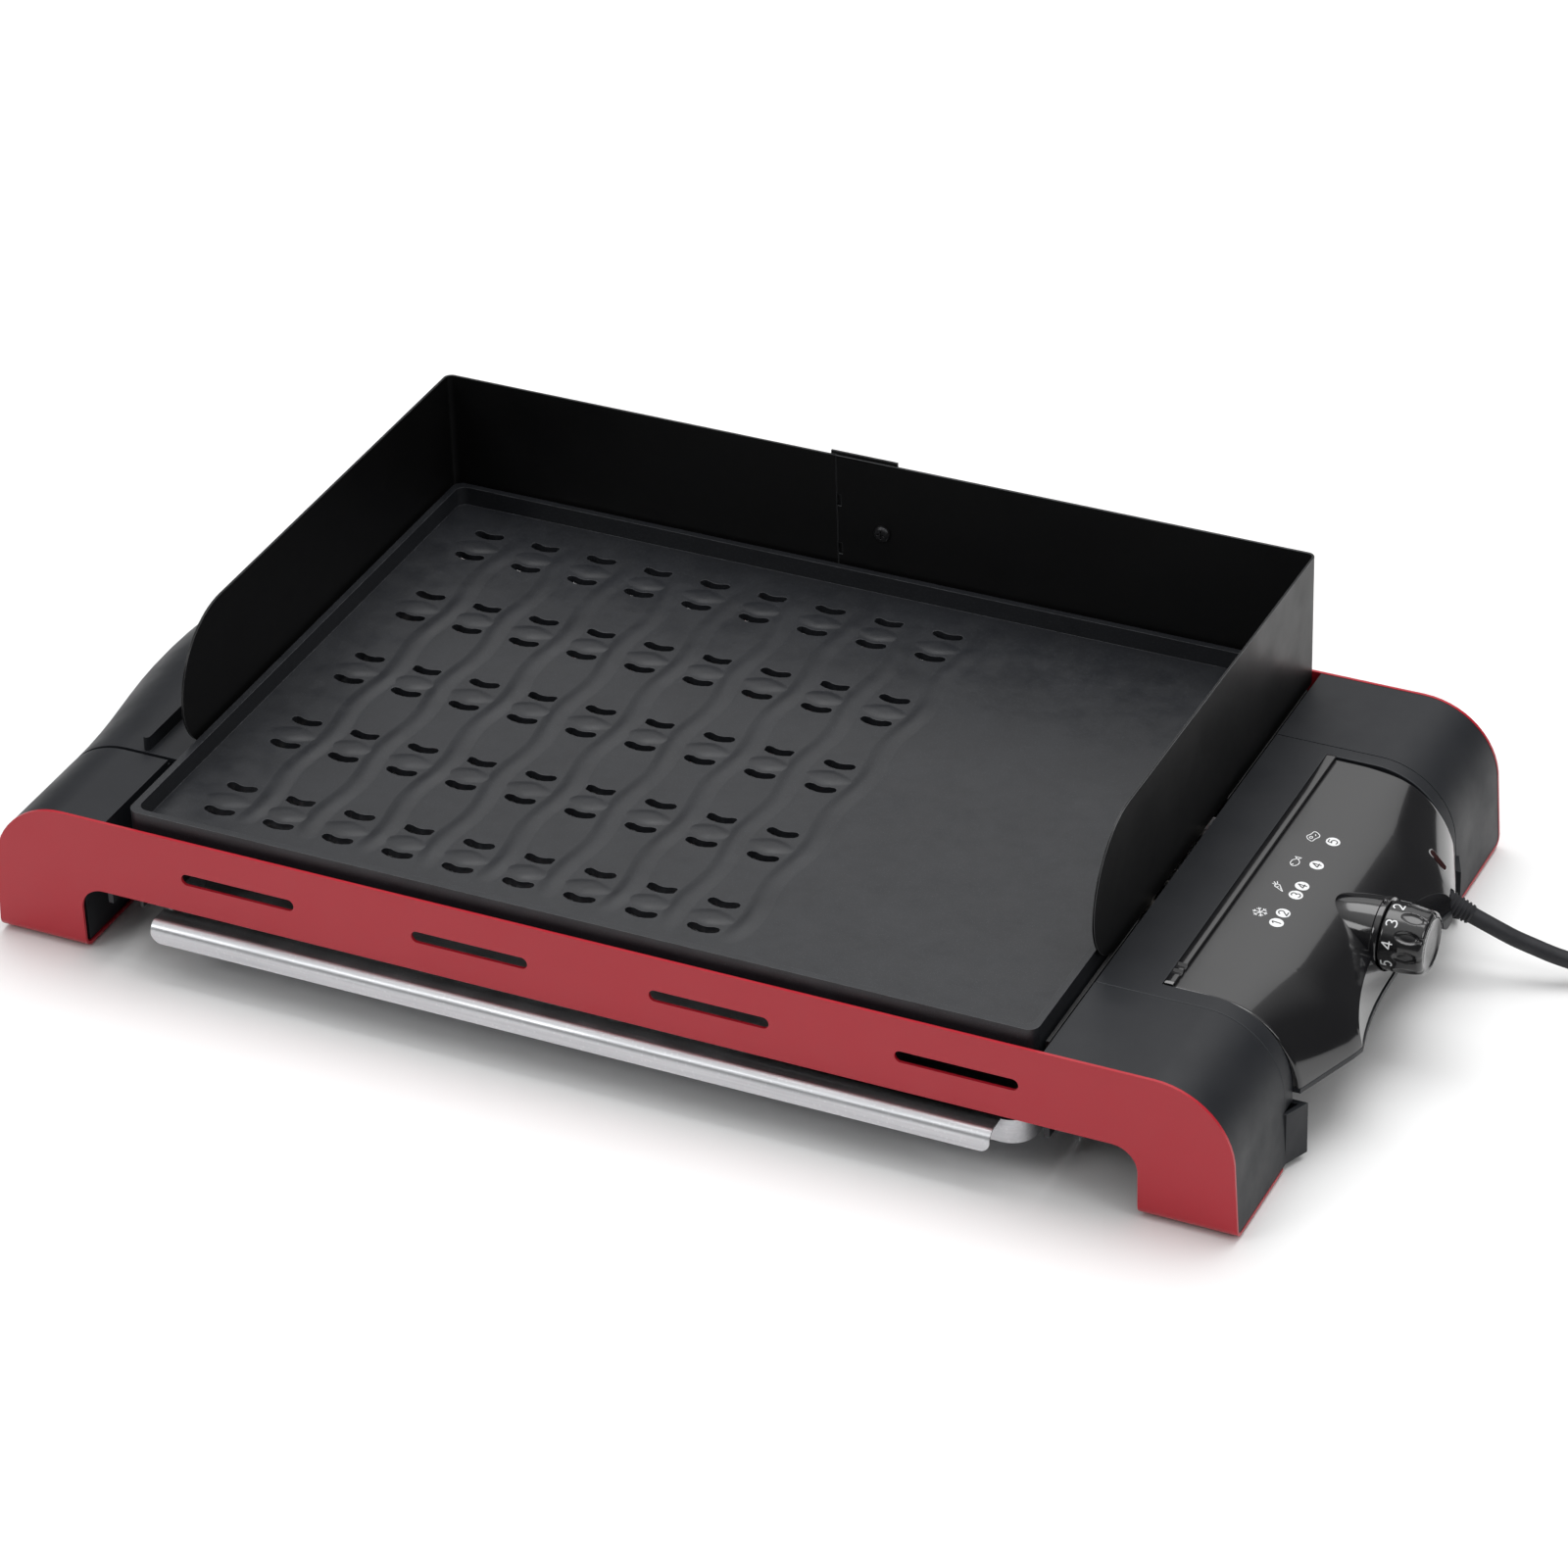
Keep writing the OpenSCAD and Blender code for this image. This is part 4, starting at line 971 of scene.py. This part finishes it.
# ---- raised relief on the plate's left part

COOK_Z = 70.0
RELIEF_Y0, RELIEF_Y1 = -136, 134
DRAIN_COLS, DRAIN_ROWS = 9, 5
DRAIN_X0, DRAIN_PITCH_X, DRAIN_Y0, DRAIN_PITCH_Y, DRAIN_STEP = -200, 30, -131, 60, 20.5
SUNK_TOP, SUNK_BASE = 0.03, 0.6  # how far a patch's rim and base lie in the plate
RIDGE_HALF, RIDGE_H, RIDGE_WAVE, RIDGE_END = 6.9, 0.75, 1.6, 14
PAD_HALF_X, PAD_HALF_Y, PAD_H = 13.2, 6.8, 0.7


def smooth_bump(t):
    """1 at t = 0, and 0 from 1 outwards."""
    return 0.5 + 0.5 * math.cos(math.pi * min(1.0, abs(t)))


def around(rows):
    """The vertices round the outside of a grid."""
    return ([row[0] for row in rows] + rows[-1][1:] + [row[-1] for row in reversed(rows[:-1])]
            + list(reversed(rows[0][1:-1])))


def height_patch(bm, us, vs, place):
    """A closed patch with its top from place(u, v) and its flat base sunk in the plate."""
    top = vert_rows(bm, [[place(u, v) for v in vs] for u in us])
    low = vert_rows(bm, [[(*place(u, v)[:2], COOK_Z - SUNK_BASE) for v in vs] for u in us])
    grid_faces(bm, top)
    grid_faces(bm, [list(reversed(row)) for row in low])
    grid_faces(bm, [around(top), around(low)], closed_cols=True)


def ridge(x0, phase):
    """A low ridge that winds along Y between two columns of slots."""
    def place(u, v):
        wave = RIDGE_WAVE * math.sin(2 * math.pi * (v - DRAIN_Y0) / DRAIN_PITCH_Y + phase)
        swelling = 0.8 + 0.2 * math.cos(2 * math.pi * (v - DRAIN_Y0 - 10) / DRAIN_PITCH_Y)
        ends = min(1.0, (v - RELIEF_Y0) / RIDGE_END, (RELIEF_Y1 - v) / RIDGE_END)
        height = RIDGE_H * swelling * max(0.0, ends) * smooth_bump(u / (RIDGE_HALF - 0.1))
        return x0 + wave + u, v, COOK_Z - SUNK_TOP + height
    return place


def pad(x0, y0):
    """A soft pad between the two slots of a pair."""
    def place(u, v):
        reach = (abs(u) / (PAD_HALF_X - 0.2)) ** 1.4 + (abs(v) / (PAD_HALF_Y - 0.2)) ** 1.6
        return x0 + u, y0 + v, COOK_Z - SUNK_TOP + PAD_H * smooth_bump(min(1.0, reach) ** 1.1)
    return place


def make_plate_relief():
    bm = bmesh.new()
    for i in range(DRAIN_COLS):
        height_patch(bm, span(-RIDGE_HALF, RIDGE_HALF, 18), span(RELIEF_Y0, RELIEF_Y1, 110),
                     ridge(DRAIN_X0 + DRAIN_PITCH_X * (i + 0.5), i * math.pi))
    for i in range(DRAIN_COLS):
        for j in range(DRAIN_ROWS):
            height_patch(bm, span(-PAD_HALF_X, PAD_HALF_X, 22), span(-PAD_HALF_Y, PAD_HALF_Y, 14),
                         pad(DRAIN_X0 + DRAIN_PITCH_X * i, DRAIN_Y0 + DRAIN_PITCH_Y * j + DRAIN_STEP / 2))
    mesh_piece("plate_relief", bm, "coated_plate", "base", smooth=60)


make_plate_relief()

# ---- cord, its sleeve and its plug

SLEEVE_RIBS = 7
GRIP_RIBS = 5


def make_relief():
    """The moulded sleeve on the cord where it leaves the shell, with ribs round it."""
    stations = [(0, 0.3), (0, 6.0), (0.03, 6.15), (0.30, 5.9)]
    for t in span(0.34, 0.90, SLEEVE_RIBS):
        r = 6.2 - 1.6 * t
        stations += [(t, r - 0.05), (t + 0.012, r - 0.75), (t + 0.040, r - 0.75), (t + 0.052, r - 0.1)]
    stations += [(0.975, 4.55), (1.0, 4.2), (1.0, 0.3)]
    bm = closed_loft(cone_rings(*relief_ends(), stations, 64))
    return mesh_piece("strain_relief_detailed", bm, "soft_black", "controller", ["strain_relief"], smooth=40)


def make_plug():
    """The moulded plug: a narrow collar on the cord, a ribbed grip and a flat face for its blades."""
    x0, y0, z0 = (c - shift for c, shift in zip(PLUG_AT, FRAME_SHIFT))
    stations = [(0, 4.6, 4.6), (0.4, 5.4, 5.4), (4, 5.9, 5.8), (6.5, 7.4, 7.0), (10, 10.6, 9.6),
                (12.5, 12.0, 11.0)]  # along Y, half width and half height
    for y in span(14.5, 26.5, GRIP_RIBS):
        stations += [(y - 1.0, 12.4, 11.35), (y - 0.6, 11.9, 10.85), (y + 0.2, 11.9, 10.85),
                     (y + 0.6, 12.4, 11.35)]
    stations += [(29.5, 12.6, 11.6), (34.5, 12.9, 11.9), (35.6, 12.6, 11.6), (PLUG_L, 12.0, 11.0)]
    rings = []
    for y, half_x, half_z in stations:
        square = 2.0 + 3.5 * min(1, y / 12)  # from round at the cord to nearly square
        ring = []
        for a in round_angles(72):
            c, s = math.cos(a), math.sin(a)
            ring.append((x0 + half_x * math.copysign(abs(c) ** (2 / square), c), y0 + y,
                         z0 + half_z * math.copysign(abs(s) ** (2 / square), s)))
        rings.append(ring)
    return mesh_piece("plug_body_detailed", closed_loft(rings), "soft_black", "controller", ["plug_body"],
                      smooth=40)


relief_piece = make_relief()
plug_piece = make_plug()
cord_path = smooth_path(CORD_ROUTE + coil_points() + TAIL_ROUTE)
cord_piece = curve_piece("supply_cord", cord_path, CORD_D, LOOKS["soft_black"], "controller")
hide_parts("power_cord", "cord_coil", "cord_tail")

for node_name in frame["nodes"]:
    if node_name not in BEVELS and node_name not in REBUILT:
        dress(node_name)

# ---------------------------------------------------------------- stage, in metres

FLOOR_HALF = 6.0
FLOOR_Z = -0.0002


def make_stage():
    bm = bmesh.new()
    bm.faces.new([bm.verts.new((x * FLOOR_HALF, y * FLOOR_HALF, FLOOR_Z))
                  for x, y in ((-1, -1), (1, -1), (1, 1), (-1, 1))])
    mesh = bpy.data.meshes.new("floor")
    bm.to_mesh(mesh)
    bm.free()
    floor = Look("floor", (0.86, 0.86, 0.86), 0.8)
    floor.tint(floor.remap(floor.noise(3, 3), 0.3, 0.7, 0.0, 0.3), (0.89, 0.89, 0.89))
    mesh.materials.append(floor.material)
    piece = bpy.data.objects.new("floor", mesh)
    bpy.context.scene.collection.objects.link(piece)


def softbox(name, place, target, width, height, watts):
    data = bpy.data.lights.new(name, "AREA")
    data.shape = "RECTANGLE"
    data.size, data.size_y = width, height
    data.energy = watts
    light = bpy.data.objects.new(name, data)
    bpy.context.scene.collection.objects.link(light)
    light.location = place
    light.rotation_euler = (Vector(target) - Vector(place)).to_track_quat("-Z", "Y").to_euler()


def make_light():
    softbox("overhead", (0.0, 0.5, 2.1), (0, 0, 0), 2.2, 1.3, 30)
    softbox("front_left", (-1.5, -2.3, 1.9), (0, 0, 0.05), 1.2, 0.9, 16)
    softbox("rear", (-0.25, 2.1, 1.65), (0.27, 0, 0.06), 2.4, 1.1, 7)
    softbox("right_side", (2.2, -0.6, 1.5), (0.2, 0, 0.05), 0.9, 0.9, 9)
    world = bpy.data.worlds.new("studio")
    world.use_nodes = True
    tree = world.node_tree
    toward = tree.nodes.new("ShaderNodeTexCoord")
    parts = tree.nodes.new("ShaderNodeSeparateXYZ")
    glow = tree.nodes.new("ShaderNodeMapRange")
    glow.interpolation_type = "SMOOTHSTEP"
    set_range(glow, 0.45, 0.95, 0.10, 1.15)
    tree.links.new(toward.outputs["Generated"], parts.inputs[0])
    tree.links.new(parts.outputs["Z"], glow.inputs["Value"])
    tree.links.new(glow.outputs[0], tree.nodes["Background"].inputs["Strength"])
    tree.nodes["Background"].inputs["Color"].default_value = (1, 1, 1, 1)
    bpy.context.scene.world = world
    bpy.context.scene.view_settings.view_transform = "Standard"


make_stage()
make_light()
